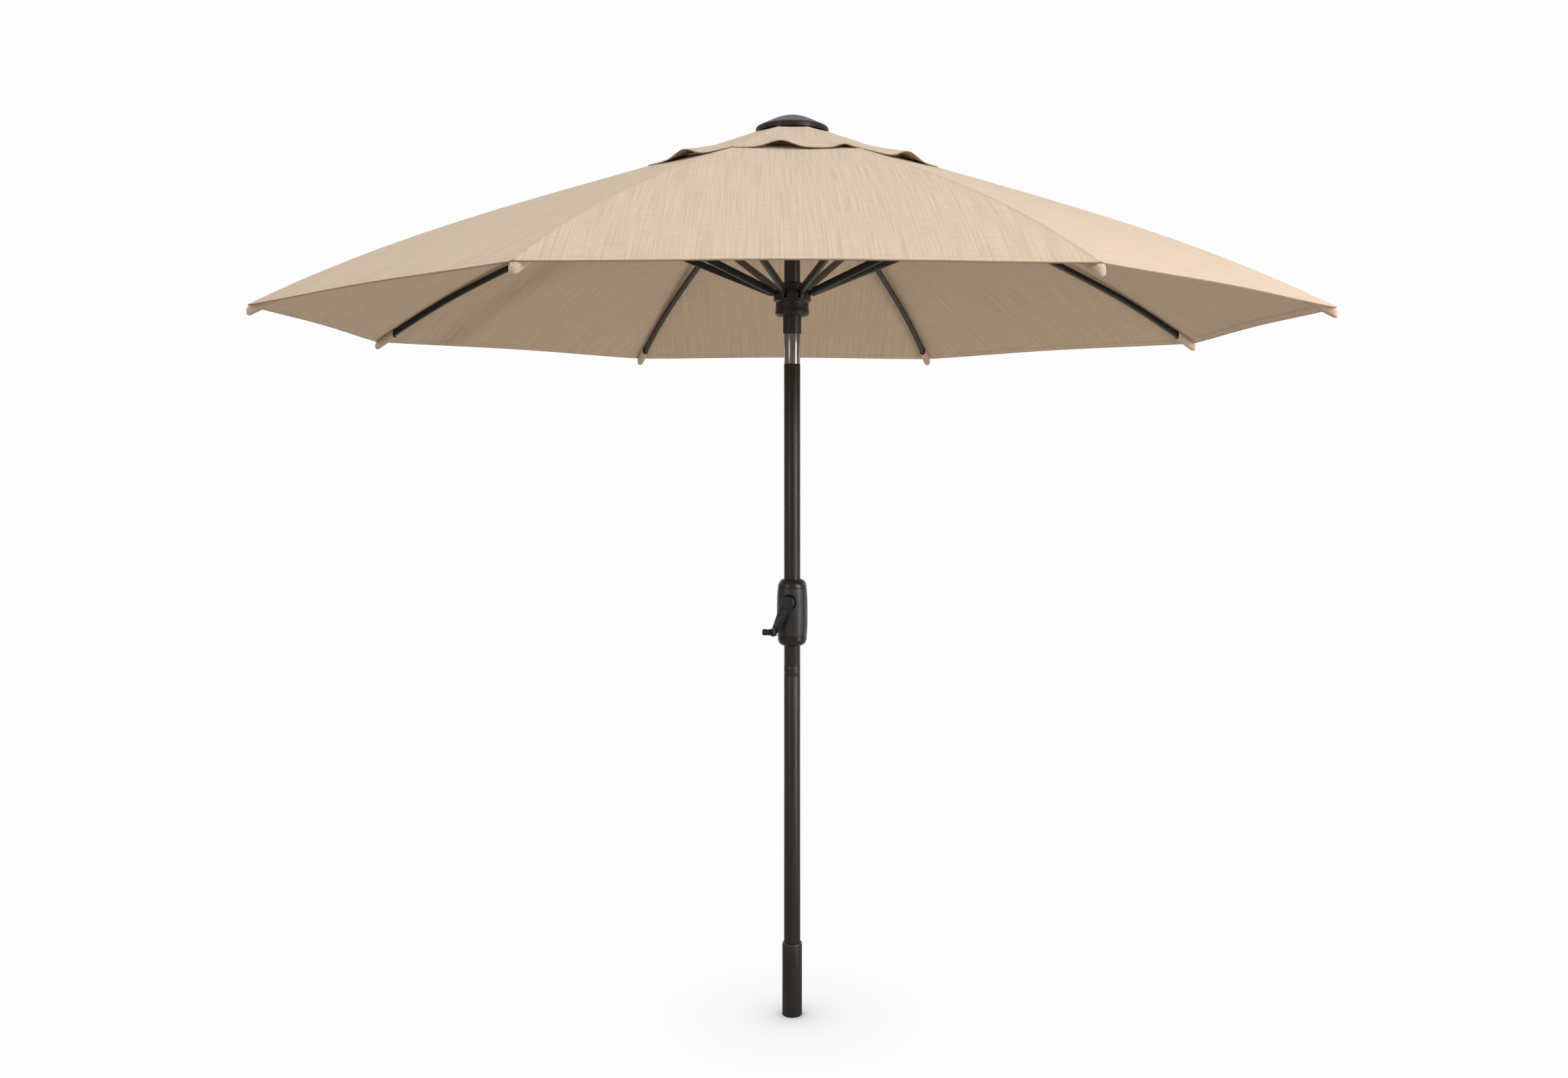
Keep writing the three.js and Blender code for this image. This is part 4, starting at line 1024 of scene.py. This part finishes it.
class UMBRELLA_OT_crown(bpy.types.Operator):
    """Make the slotted crown hub, the ribs' hinge wire and the finial"""

    bl_idname = "umbrella.crown"
    bl_label = "Crown and Finial"

    def execute(self, context):
        bottom, top = span("crown_hub")
        bore = MAST_RADIUS + FIT_GAP
        hub = [(bore, bottom), (SLOT_FLOOR, bottom), (SLOT_FLOOR, top - 7), (HUB_RADIUS, top - 7)]
        hub += [(HUB_RADIUS, top - 3), (HUB_RADIUS - 3, top), (bore, top)]
        parts = [turned(softened(hub, 1.0, 3), FINE_TURN), castle(bottom, top - 6, HUB_RADIUS)]
        add_piece("crown_hub_moulding", joined(parts), "black", "root", ["crown_hub"])
        add_piece("crown_wire", wire_ring(CROWN_HINGE_Z), "steel", "root", ["crown_wire_ring"])

        bottom, top = span("finial_cap")
        rim = FINIAL_RADIUS
        dome = [(rim, 11), (rim - 1.2, 14.5), (rim - 5, 17.6), (rim - 12, 20.8), (84, 26.2)]
        dome += [(70, 33), (56, 39.6), (42, 45.2), (28, 49.5), (14, 52.3), (1, top - bottom)]
        dome = [(radius, bottom + rise) for radius, rise in dome]
        outline = [(rim - 3, bottom), (rim - 0.8, bottom), (rim, bottom + 0.8), *flowing(dome, 5)]
        outline[-1] = (0, top)
        outline += [(0, top - 8), (6.3, top - 8), (6.3, bottom + 2), (13, bottom + 2), (13, top - 9)]
        outline += [(42, bottom + 41), (70, bottom + 29), (rim - 14, bottom + 17), (rim - 3, bottom + 12)]
        add_piece("finial", turned(outline, FINE_TURN), "finial", "root", ["finial_cap"])
        return {"FINISHED"}


def square_tube(line, width, height, corner):
    tree = bpy.data.node_groups["Tube along a line"]
    coat = bpy.data.materials["Frame powder coat"]
    sizes = {"Width": width * MM, "Height": height * MM, "Corner": corner * MM}
    return close_up(through_tree(lines_mesh([line]), tree, coat, **sizes))


class UMBRELLA_OT_ribs(bpy.types.Operator):
    """Make the eight bowed ribs, each with its hinge eye and strut bracket"""

    bl_idname = "umbrella.ribs"
    bl_label = "Ribs"

    def execute(self, context):
        start = HUB_RADIUS + RIB_START_GAP
        neck = start + 6
        neck_half = RIB_HEIGHT / 2 - 2
        eye = [
            (neck, rib_height(neck) - neck_half),
            (neck, rib_height(neck) + neck_half),
            *arc(HINGE_RADIUS, CROWN_HINGE_Z, EYE_RADIUS, 1.3, 2 * math.pi - 1.9, 20),
        ]
        eye_hole = arc(HINGE_RADIUS, CROWN_HINGE_Z, WIRE_RADIUS + WIRE_SLACK, 0, 2 * math.pi, 20)[:-1]
        root_z = rib_height(RIVET_RHO) - RIB_HEIGHT / 2 + 0.8
        bracket = [
            (RIVET_RHO + 24, root_z - 8),
            (RIVET_RHO + 24, root_z),
            (RIVET_RHO - 18, root_z + 8),
            (RIVET_RHO - 18, root_z + 2),
            *arc(RIVET_RHO, RIVET_Z, 10, math.pi - 0.3, 2 * math.pi + 0.1, 16),
        ]
        rivet_hole = arc(RIVET_RHO, RIVET_Z, RIVET_HALF, 0, 2 * math.pi, 20)[:-1]
        for index in range(RIB_COUNT):
            turn = in_rib_plane(index)
            line = [turn @ Vector((rho, 0, rib_height(rho))) for rho in np.linspace(start, RIB_END, 40)]
            parts = [
                square_tube(line, RIB_WIDTH, RIB_HEIGHT, RIB_CORNER),
                block(eye, [eye_hole], EYE_THICKNESS, EYE_EDGE, turn @ UPRIGHT),
                block(bracket, [rivet_hole], EYE_THICKNESS, EYE_EDGE, turn @ UPRIGHT),
            ]
            number = index + 1
            names = f"rib_bar_{number}", f"rib_arm_{number}", f"rib_{number}"
            add_piece(names[0], joined(parts), "frame", names[1], names[2:])
        return {"FINISHED"}


class UMBRELLA_OT_struts(bpy.types.Operator):
    """Make the eight struts, each with its hinge eye, fork and rivet"""

    bl_idname = "umbrella.struts"
    bl_label = "Struts"

    def execute(self, context):
        half = STRUT_HEIGHT / 2
        start, fork = STRUT_START, LINK_LENGTH - FORK_SETBACK
        eye = [
            (start + 6, 2.5 - half),
            (start + 6, half - 2.5),
            *arc(0, 0, EYE_RADIUS - 1, math.pi / 2 - 0.2, 1.5 * math.pi + 0.2, 20),
        ]
        eye_hole = arc(0, 0, WIRE_RADIUS + WIRE_SLACK, 0, 2 * math.pi, 20)[:-1]
        cheek = [
            (fork - 5, half - 0.4),
            (fork - 5, 0.4 - half),
            *arc(LINK_LENGTH, 0, half - 0.2, -math.pi / 2, math.pi / 2, 16),
        ]
        rivet = [(0, -9.2), (2.8, -8.9), (4.6, -7.4), (4.6, -6.8), (3, -6.8)]
        rivet += [(radius, -height) for radius, height in reversed(rivet)]
        for index in range(RIB_COUNT):
            place = (
                in_rib_plane(index)
                @ Matrix.Translation((HINGE_RADIUS, 0, RUNNER_HINGE_Z))
                @ Matrix.Rotation(-STRUT_SLOPE, 4, "Y")
            )
            line = [place @ Vector((x, 0, 0)) for x in np.linspace(start, fork, 8)]
            bar = square_tube(line, STRUT_WIDTH, STRUT_HEIGHT, STRUT_CORNER)
            parts = [bar, block(eye, [eye_hole], EYE_THICKNESS, EYE_EDGE, place @ UPRIGHT)]
            for side in (-1, 1):
                offset = Matrix.Translation((0, side * 5.3, 0))
                parts.append(block(cheek, [], 3.3, 0.6, place @ offset @ UPRIGHT))
            pin = Matrix.Translation((LINK_LENGTH, 0, 0)) @ UPRIGHT
            parts.append(turned(rivet, 24, place @ pin))
            number = index + 1
            names = f"strut_bar_{number}", f"strut_arm_{number}", f"strut_{number}"
            add_piece(names[0], joined(parts), "frame", names[1], names[2:])
        return {"FINISHED"}


# ---- Cover ----
SEAM_STEPS = np.array([0.0, 2.0, 5.0, 6.2, 8.5])
FREE_COLUMNS = 26
SEAM_RISE = 0.9
SEAM_ROW = 3.6
# Half-width of the cover from which on its seam has its full width.
SEAM_FULL = 60.0
HEM_ARCH = 5.0
HEM_LAYERS = 2.1
# Distance between the panels' patterns, in metres, so no two panels look alike.
PANEL_APART = 2.3
POCKET_LENGTH = 72.0
POCKET_PAST = 4.0
POCKET_WIDE = 12.2
POCKET_DEEP = 15.0
POCKET_TOP = 13.2
VENT_RISE = 5.0
VENT_WAVE_START = 150.0
# Waves of the vent's hem in each panel, from the first rib's panel on: (height, place, width).
VENT_WAVES = [
    [(23, 0.62, 0.15)],
    [(17, 0.4, 0.16), (5, 0.85, 0.07)],
    [(20, 0.55, 0.17)],
    [(15, 0.35, 0.13), (9, 0.78, 0.1)],
    [(21, 0.48, 0.16)],
    [(18, 0.6, 0.15), (5, 0.18, 0.07)],
    [(23, 0.43, 0.15)],
    [(19, 0.38, 0.13), (11, 0.89, 0.075)],
]


def panel_position(index, share):
    """Panel number and place across it, from 0 to 1, of a point beside a rib."""
    if share >= 0:
        return index, share / 2
    return (index - 1) % RIB_COUNT, 1 + share / 2


def vent_wave(index, share, rho):
    panel, place = panel_position(index, share)
    rise = sum(
        height * math.exp(-(((place - centre) / width) ** 2))
        for height, centre, width in VENT_WAVES[panel]
    )
    ends = 1 - abs(2 * place - 1) ** 10
    out = max(0.0, (rho - VENT_WAVE_START) / (VENT_OUTER - VENT_WAVE_START))
    return rise * ends * out**2.2


def vent_surface(index, share, rho):
    if rho < FINIAL_RADIUS:
        return SEAM_TOP_Z + VENT_RISE
    settle = (rho - FINIAL_RADIUS) / (VENT_OUTER - FINIAL_RADIUS)
    return seam_height(rho) + VENT_RISE - 2.2 * settle + vent_wave(index, share, rho)


def panel_surface(sag):
    def surface(index, share, rho):
        t = (rho - PANEL_INNER) / (CORNER_RADIUS - PANEL_INNER)
        dip = sag * max(0.0, math.sin(math.pi * min(1.0, 0.12 + 0.88 * t) ** 0.8))
        return seam_height(rho) + (HEM_ARCH * t**6 - dip) * math.sin(math.pi / 2 * abs(share)) ** 2

    return surface


def half_width(rho):
    """Half of a panel's width beside its rib."""
    return rho * PANEL_COS * PANEL_SIN


def cover_point(index, rho, offset, surface):
    """A point on the cover at a distance from the mast along the rib and a distance beside it."""
    half = half_width(rho)
    share = offset / half
    rise = SEAM_RISE * min(1.0, half / SEAM_FULL) * (1 - np.clip((abs(offset) - 5.0) / 1.6, 0, 1))
    along = rho * (1 - abs(share) * (1 - PANEL_COS**2))
    return Vector((along, offset, surface(index, share, rho) + rise))


# Stores a mask of painted shade, where dark brown is mixed into the cloth.
def mark_fold_shade(mesh, shares):
    mask = mesh.attributes.new("hem_fold_shade", "FLOAT", "POINT")
    mask.data.foreach_set("value", np.asarray(shares, np.float32))


def make_cover(index, rhos, surface, thickness, hem):
    """One rib's share of a cover as a closed sheet, with its cloth coordinates and its hem's mask of
    painted shade.
    """
    turn = in_rib_plane(index)
    columns = 2 * (len(SEAM_STEPS) + FREE_COLUMNS) - 1
    top = np.zeros((len(rhos), columns, 3))
    across = np.zeros((len(rhos), columns))
    for i, rho in enumerate(rhos):
        half = half_width(rho)
        steps = SEAM_STEPS * min(1.0, half / SEAM_FULL)
        free = steps[-1] + (half - steps[-1]) * np.arange(1, FREE_COLUMNS + 1) / FREE_COLUMNS
        side = np.concatenate([steps, free])
        across[i] = np.concatenate([-side[:0:-1], side])
        for j, offset in enumerate(across[i]):
            top[i, j] = turn @ cover_point(index, rho, offset, surface)
    thick = np.where(rhos > rhos[-1] - hem, HEM_LAYERS * thickness, thickness)
    low = top - np.array([0, 0, 1.0]) * thick[:, None, None]
    outward = turn @ Vector((1, 0, 0))
    edge_out = (top[-1] + low[-1]) / 2 + np.array(outward) * 0.5 * thick[-1]
    edge_in = (top[0] + low[0]) / 2 - np.array(outward) * 0.3 * thick[0]
    loop = np.concatenate([top, edge_out[None], low[::-1], edge_in[None]])
    rows = len(loop)

    def at(i, j):
        return (i % rows) * columns + j

    faces = []
    for i in range(rows):
        for j in range(columns - 1):
            faces.append((at(i, j), at(i, j + 1), at(i + 1, j + 1), at(i + 1, j)))
    last = len(rhos) - 1
    for j, flip in ((0, 1), (columns - 1, -1)):
        for i in range(last):
            faces.append((at(i, j), at(i + 1, j), at(rows - 3 - i, j), at(rows - 2 - i, j))[::flip])
        faces.append((at(last, j), at(last + 1, j), at(last + 2, j))[::flip])
        faces.append((at(0, j), at(rows - 2, j), at(rows - 1, j))[::flip])
    mesh = new_mesh(loop, faces)

    heights = [seam_height(rho) for rho in rhos]
    fall = np.hypot(np.diff(rhos) * PANEL_COS, np.diff(heights))
    length = np.concatenate([[0], np.cumsum(fall)]) + rhos[0]
    loop_length = np.concatenate([length, length[-1:] + 2, length[::-1], length[:1] - 2])
    loop_across = np.concatenate([across, across[-1:], across[::-1], across[:1]])
    loop_rho = np.concatenate([rhos, rhos[-1:], rhos[::-1], rhos[:1]])
    layer = mesh.uv_layers.new(name="cloth")
    middle = columns // 2
    uv = np.zeros((len(mesh.loops), 2))
    for polygon in mesh.polygons:
        ids = [mesh.loops[k].vertex_index for k in polygon.loop_indices]
        right = sum(v % columns for v in ids) / len(ids) > middle
        panel = index if right else (index - 1) % RIB_COUNT
        for k, v in zip(polygon.loop_indices, ids):
            i, j = divmod(v, columns)
            share = abs(loop_across[i, j]) / half_width(loop_rho[i])
            from_middle = loop_rho[i] * PANEL_SIN * (1 - share)
            u = -from_middle if right else from_middle
            uv[k] = (u * MM + PANEL_APART * panel + 0.9, loop_length[i] * MM)
    layer.data.foreach_set("uv", uv.ravel())
    # Painted shade along the last few millimetres of the hem's fold.
    fold_shade_share = np.clip((loop_length - (length[-1] - 3.5)) / 2.5, 0, 1)
    mark_fold_shade(mesh, np.repeat(fold_shade_share, columns))
    return smoothed(mesh, SHARP_CLOTH)


def stitch_lines(index, rhos, surface, hem, thickness):
    """Lines for the stitches: two rows along the seam, and one row on each face of the hem."""
    turn = in_rib_plane(index)
    lines = []
    for side in (-SEAM_ROW, SEAM_ROW):
        run = np.linspace(rhos[0] + 6, rhos[-1] - 3, 90)
        lines.append([turn @ cover_point(index, rho, side, surface) for rho in run])
    row = rhos[-1] - hem + 3
    half = half_width(row)
    for side in (-1, 1):
        offsets = [side * t for t in np.linspace(9, half - 1, 40)]
        upper = [cover_point(index, row, offset, surface) for offset in offsets]
        lines.append([turn @ point for point in upper])
        lines.append([turn @ (point - Vector((0, 0, HEM_LAYERS * thickness))) for point in upper])
    return lines


def squared(angle, wide, deep):
    """A point of a round-cornered square section."""
    x, z = math.cos(angle), math.sin(angle)
    return wide * math.copysign(abs(x) ** 0.8, x), deep * math.copysign(abs(z) ** 0.8, z)


def make_pocket(index):
    """The sleeve of cloth that holds a rib's end: open towards the mast, closed and rounded outside."""
    turn = in_rib_plane(index)
    start, end = CORNER_RADIUS - POCKET_LENGTH, CORNER_RADIUS + POCKET_PAST
    rings = [(start + 30, 0.9, -1.5), (start + 1.5, 0.9, -1.5), (start, 0.97, -0.7), (start + 1.2, 1.05, 0)]
    rings += [(rho, 1.0, 0) for rho in np.linspace(start + 6, end - 14, 10)]
    rings += [(end - 14 + 14 * math.sin(a), math.cos(a) ** 0.75, 0) for a in np.linspace(0.25, 1.5, 8)]
    steps = 32
    vertices, uv = [], []
    for number, (rho, scale, inset) in enumerate(rings):
        middle = seam_height(min(rho, CORNER_RADIUS)) - RIB_SEAM_GAP
        crease = 0.35 * math.sin(0.55 * rho + index) + 0.25 * math.sin(1.3 * rho + 2 * index)
        for step in range(steps):
            angle = 2 * math.pi * step / steps
            wide, deep = squared(angle, (POCKET_WIDE + inset) * scale, (POCKET_DEEP + inset) * scale)
            low_side = max(0.0, -math.sin(angle))
            ripple = crease * scale * low_side * math.sin(3 * angle + 0.2 * rho)
            drop = 3 * (1 - scale) if scale < 0.9 else 0
            height = middle + min(deep, POCKET_TOP) - ripple - drop
            vertices.append(turn @ Vector((rho, wide, height)))
            uv.append((0.011 * angle + PANEL_APART * index + 0.3, rho * MM))
    faces = []
    for ring in range(len(rings) - 1):
        for step in range(steps):
            other = (step + 1) % steps
            a, b = ring * steps, (ring + 1) * steps
            faces.append((a + step, a + other, b + other, b + step))
    faces.append(tuple(range(steps)))
    faces.append(tuple(range((len(rings) - 1) * steps, len(rings) * steps)))
    mesh = new_mesh(vertices, faces)
    layer = mesh.uv_layers.new(name="cloth")
    for loop in mesh.loops:
        layer.data[loop.index].uv = uv[loop.vertex_index]
    # Painted shade on the pocket's lip at its mouth.
    mark_fold_shade(mesh, [0.75 if 1 <= v // steps <= 2 else 0.0 for v in range(len(vertices))])
    smoothed(mesh, SHARP_POCKET)
    rho = start + 9
    middle = seam_height(rho) - RIB_SEAM_GAP
    mouth = []
    for angle in np.linspace(math.pi, 2 * math.pi, 17):
        wide, deep = squared(angle, POCKET_WIDE + 0.15, POCKET_DEEP + 0.15)
        mouth.append(turn @ Vector((rho, wide, middle + deep)))
    return mesh, mouth


def fold_with_rib(piece):
    """Gives a piece of the cover its own copy of its mesh."""
    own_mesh(piece)


def stitches(lines, pitch):
    tree = bpy.data.node_groups["Stitches along a line"]
    thread = bpy.data.materials["Sewing thread"]
    return through_tree(lines_mesh(lines), tree, thread, Pitch=pitch)


class UMBRELLA_OT_canopy(bpy.types.Operator):
    """Make the cover, parted at mid-panel, with its hem, end pockets and stitches"""

    bl_idname = "umbrella.canopy"
    bl_label = "Canopy Cover"

    def execute(self, context):
        cover = context.scene.umbrella_cover
        hem, thickness = cover.hem_width / MM, cover.cloth_thickness / MM
        surface = panel_surface(cover.panel_sag / MM)
        fold = CORNER_RADIUS - hem
        inner = np.linspace(PANEL_INNER, fold - 8, 46)
        outer = fold + np.array([-4.0, -0.8, 0.8, 3.0, 8.0, 14.0, hem - 4.0, hem - 2.0, hem - 0.8, hem])
        rhos = np.concatenate([inner, outer])
        for index in range(RIB_COUNT):
            number = index + 1
            body = f"rib_arm_{number}"
            mesh = make_cover(index, rhos, surface, thickness, hem)
            cloth = add_piece(f"canopy_cover_{number}", mesh, "cloth", body, [f"canopy_panel_{number}"])
            pocket_mesh, mouth = make_pocket(index)
            pocket = add_piece(f"rib_pocket_{number}", pocket_mesh, "cloth", body)
            lines = stitch_lines(index, rhos, surface, hem, thickness)
            sewing = stitches([*lines, mouth], cover.stitch_pitch)
            thread = add_piece(f"canopy_stitches_{number}", sewing, "thread", body)
            for piece in (cloth, thread):
                fold_with_rib(piece)
        return {"FINISHED"}


class UMBRELLA_OT_vent(bpy.types.Operator):
    """Make the wind-vent flap over the crown, its hem lifted in waves between the ribs"""

    bl_idname = "umbrella.vent"
    bl_label = "Vent Flap"

    def execute(self, context):
        cover = context.scene.umbrella_cover
        hem, thickness = VENT_HEM, cover.cloth_thickness / MM
        inner = np.linspace(VENT_INNER, VENT_OUTER - hem - 3, 34)
        outer = VENT_OUTER - hem + np.array([-0.8, 0.8, 4.0, 8.0, hem - 2.0, hem - 0.6, hem])
        rhos = np.concatenate([inner, outer])
        for index in range(RIB_COUNT):
            number = index + 1
            body = f"rib_arm_{number}"
            mesh = make_cover(index, rhos, vent_surface, thickness, hem)
            cloth = add_piece(f"vent_cover_{number}", mesh, "cloth", body, [f"vent_flap_{number}"])
            start = rhos[rhos > FINIAL_RADIUS]
            lines = stitch_lines(index, start, vent_surface, hem, thickness)
            sewing = stitches(lines, cover.stitch_pitch)
            thread = add_piece(f"vent_stitches_{number}", sewing, "thread", body)
            for piece in (cloth, thread):
                fold_with_rib(piece)
        return {"FINISHED"}


# ---- Stage ----
BACKDROP = 0.985
FLOOR_REACH = 60.0
CAMERA_SHIFT = (-0.0052, -0.0567)


def add_light(name, place, target, width, height, power, colour=(1, 1, 1)):
    light = bpy.data.lights.new(name, "AREA")
    light.shape = "RECTANGLE"
    light.size, light.size_y = width, height
    light.energy = power
    light.color = colour
    item = bpy.data.objects.new(name, light)
    item.visible_camera = False
    bpy.context.scene.collection.objects.link(item)
    item.location = place
    direction = Vector(target) - Vector(place)
    item.rotation_euler = direction.to_track_quat("-Z", "Y").to_euler()


def make_world():
    """White for the camera, and a softer sky that is brightest overhead for everything else."""
    world = bpy.data.worlds.new("Studio")
    bpy.context.scene.world = world
    world.use_nodes = True
    tree = world.node_tree
    tree.nodes.clear()
    place = add_node(tree, "ShaderNodeTexCoord").outputs["Generated"]
    up = add_node(tree, "ShaderNodeSeparateXYZ", {0: place}).outputs[2]
    glow = ramp(tree, up, -0.05, 0.9, 0.2, 1.16)
    seen = add_node(tree, "ShaderNodeLightPath").outputs["Is Camera Ray"]
    strength = add_node(tree, "ShaderNodeMix", {0: seen, 2: glow, 3: BACKDROP}, data_type="FLOAT")
    values = {"Color": (1, 1, 1, 1), "Strength": strength.outputs[0]}
    light = add_node(tree, "ShaderNodeBackground", values)
    add_node(tree, "ShaderNodeOutputWorld", {0: light.outputs[0]})


def make_floor():
    """A pale floor that reads as a plain white backdrop, with a painted soft shadow where the pole stands.
    """
    corners = [(-1, -1, 0), (1, -1, 0), (1, 1, 0), (-1, 1, 0)]
    mesh = new_mesh(np.array(corners) * FLOOR_REACH / MM, [(0, 1, 2, 3)])
    floor = bpy.data.objects.new("studio_floor", mesh)
    bpy.context.scene.collection.objects.link(floor)
    material = bpy.data.materials.new("Pale floor")
    material.use_nodes = True
    tree = material.node_tree
    tree.nodes.clear()
    plain = add_node(tree, "ShaderNodeBsdfDiffuse", {"Color": (0.36, 0.325, 0.288, 1)})
    open_sky = add_node(tree, "ShaderNodeAmbientOcclusion", {"Distance": 0.4}).outputs["AO"]
    # Painted shadow: the glow that the camera sees dims by ambient occlusion near the pole.
    glow_with_painted_shadow = ramp(tree, open_sky, 0.2, 1.0, 0.0, BACKDROP)
    glow = add_node(tree, "ShaderNodeEmission", {"Color": (1, 1, 1, 1), "Strength": glow_with_painted_shadow})
    seen = add_node(tree, "ShaderNodeLightPath").outputs["Is Camera Ray"]
    mix = add_node(tree, "ShaderNodeMixShader", {0: seen, 1: plain.outputs[0], 2: glow.outputs[0]})
    add_node(tree, "ShaderNodeOutputMaterial", {0: mix.outputs[0]})
    mesh.materials.append(material)


class UMBRELLA_OT_stage(bpy.types.Operator):
    """Make the floor, the lights and the camera"""

    bl_idname = "umbrella.stage"
    bl_label = "Stage"

    def execute(self, context):
        stage = context.scene.umbrella_stage
        context.scene.view_settings.view_transform = "Standard"
        make_world()
        make_floor()
        add_light("Key", (3.9, -3.9, 3.9), (0.2, 0, 2.0), 2.4, 3.6, 143)
        add_light("Fill", (-3.8, -4.0, 2.6), (0, 0, 2.1), 1.8, 3.4, 45)
        add_light("Low fill", (0, 1.2, 0.1), (0, 0, 2.3), 4.4, 2.2, 12, (1, 0.92, 0.82))
        add_light("Right strip", (3.0, -1.9, 1.3), (0, 0, 1.2), 0.24, 2.6, 46)
        add_light("Right rim", (2.6, 2.2, 1.3), (0, 0, 1.2), 0.3, 2.6, 10)
        add_light("Left rim", (-1.6, 2.8, 1.3), (0, 0, 1.2), 0.3, 2.6, 12)

        camera = bpy.data.cameras.new("Camera")
        camera.lens = stage.lens
        camera.sensor_width = 36
        camera.shift_x, camera.shift_y = CAMERA_SHIFT
        camera.clip_end = 200
        eye = bpy.data.objects.new("Camera", camera)
        context.scene.collection.objects.link(eye)
        away = stage.distance
        eye.location = (-away * math.sin(stage.turn), -away * math.cos(stage.turn), stage.eye_height)
        eye.rotation_euler = (math.pi / 2, 0, -stage.turn)
        context.scene.camera = eye
        return {"FINISHED"}


OPERATORS = (
    UMBRELLA_OT_finishes,
    UMBRELLA_OT_stage,
    UMBRELLA_OT_pole,
    UMBRELLA_OT_housing,
    UMBRELLA_OT_crank,
    UMBRELLA_OT_runner,
    UMBRELLA_OT_crown,
    UMBRELLA_OT_ribs,
    UMBRELLA_OT_struts,
    UMBRELLA_OT_canopy,
    UMBRELLA_OT_vent,
)
GROUPS = {
    "umbrella_coatings": UMBRELLA_PG_coatings,
    "umbrella_cover": UMBRELLA_PG_cover,
    "umbrella_stage": UMBRELLA_PG_stage,
}


class UMBRELLA_PT_panel(bpy.types.Panel):
    """The umbrella's pieces and settings"""

    bl_idname = "UMBRELLA_PT_panel"
    bl_label = "Patio Umbrella"
    bl_space_type = "VIEW_3D"
    bl_region_type = "UI"
    bl_category = "Umbrella"

    def draw(self, context):
        for operator in OPERATORS:
            self.layout.operator(operator.bl_idname)
        for name, group in GROUPS.items():
            box = self.layout.box()
            box.label(text=name.replace("_", " ").title())
            for key in group.__annotations__:
                box.prop(getattr(context.scene, name), key)


def register():
    for name, group in GROUPS.items():
        bpy.utils.register_class(group)
        setattr(bpy.types.Scene, name, PointerProperty(type=group))
    for operator in OPERATORS:
        bpy.utils.register_class(operator)
    bpy.utils.register_class(UMBRELLA_PT_panel)


def unregister():
    bpy.utils.unregister_class(UMBRELLA_PT_panel)
    for operator in reversed(OPERATORS):
        bpy.utils.unregister_class(operator)
    for name, group in reversed(GROUPS.items()):
        delattr(bpy.types.Scene, name)
        bpy.utils.unregister_class(group)


def main():
    register()
    bpy.ops.umbrella.finishes()
    bpy.ops.umbrella.stage()
    bpy.ops.umbrella.pole()
    bpy.ops.umbrella.housing()
    bpy.ops.umbrella.crank()
    bpy.ops.umbrella.runner()
    bpy.ops.umbrella.crown()
    bpy.ops.umbrella.ribs()
    bpy.ops.umbrella.struts()
    bpy.ops.umbrella.canopy()
    bpy.ops.umbrella.vent()


if __name__ == "__main__":
    main()
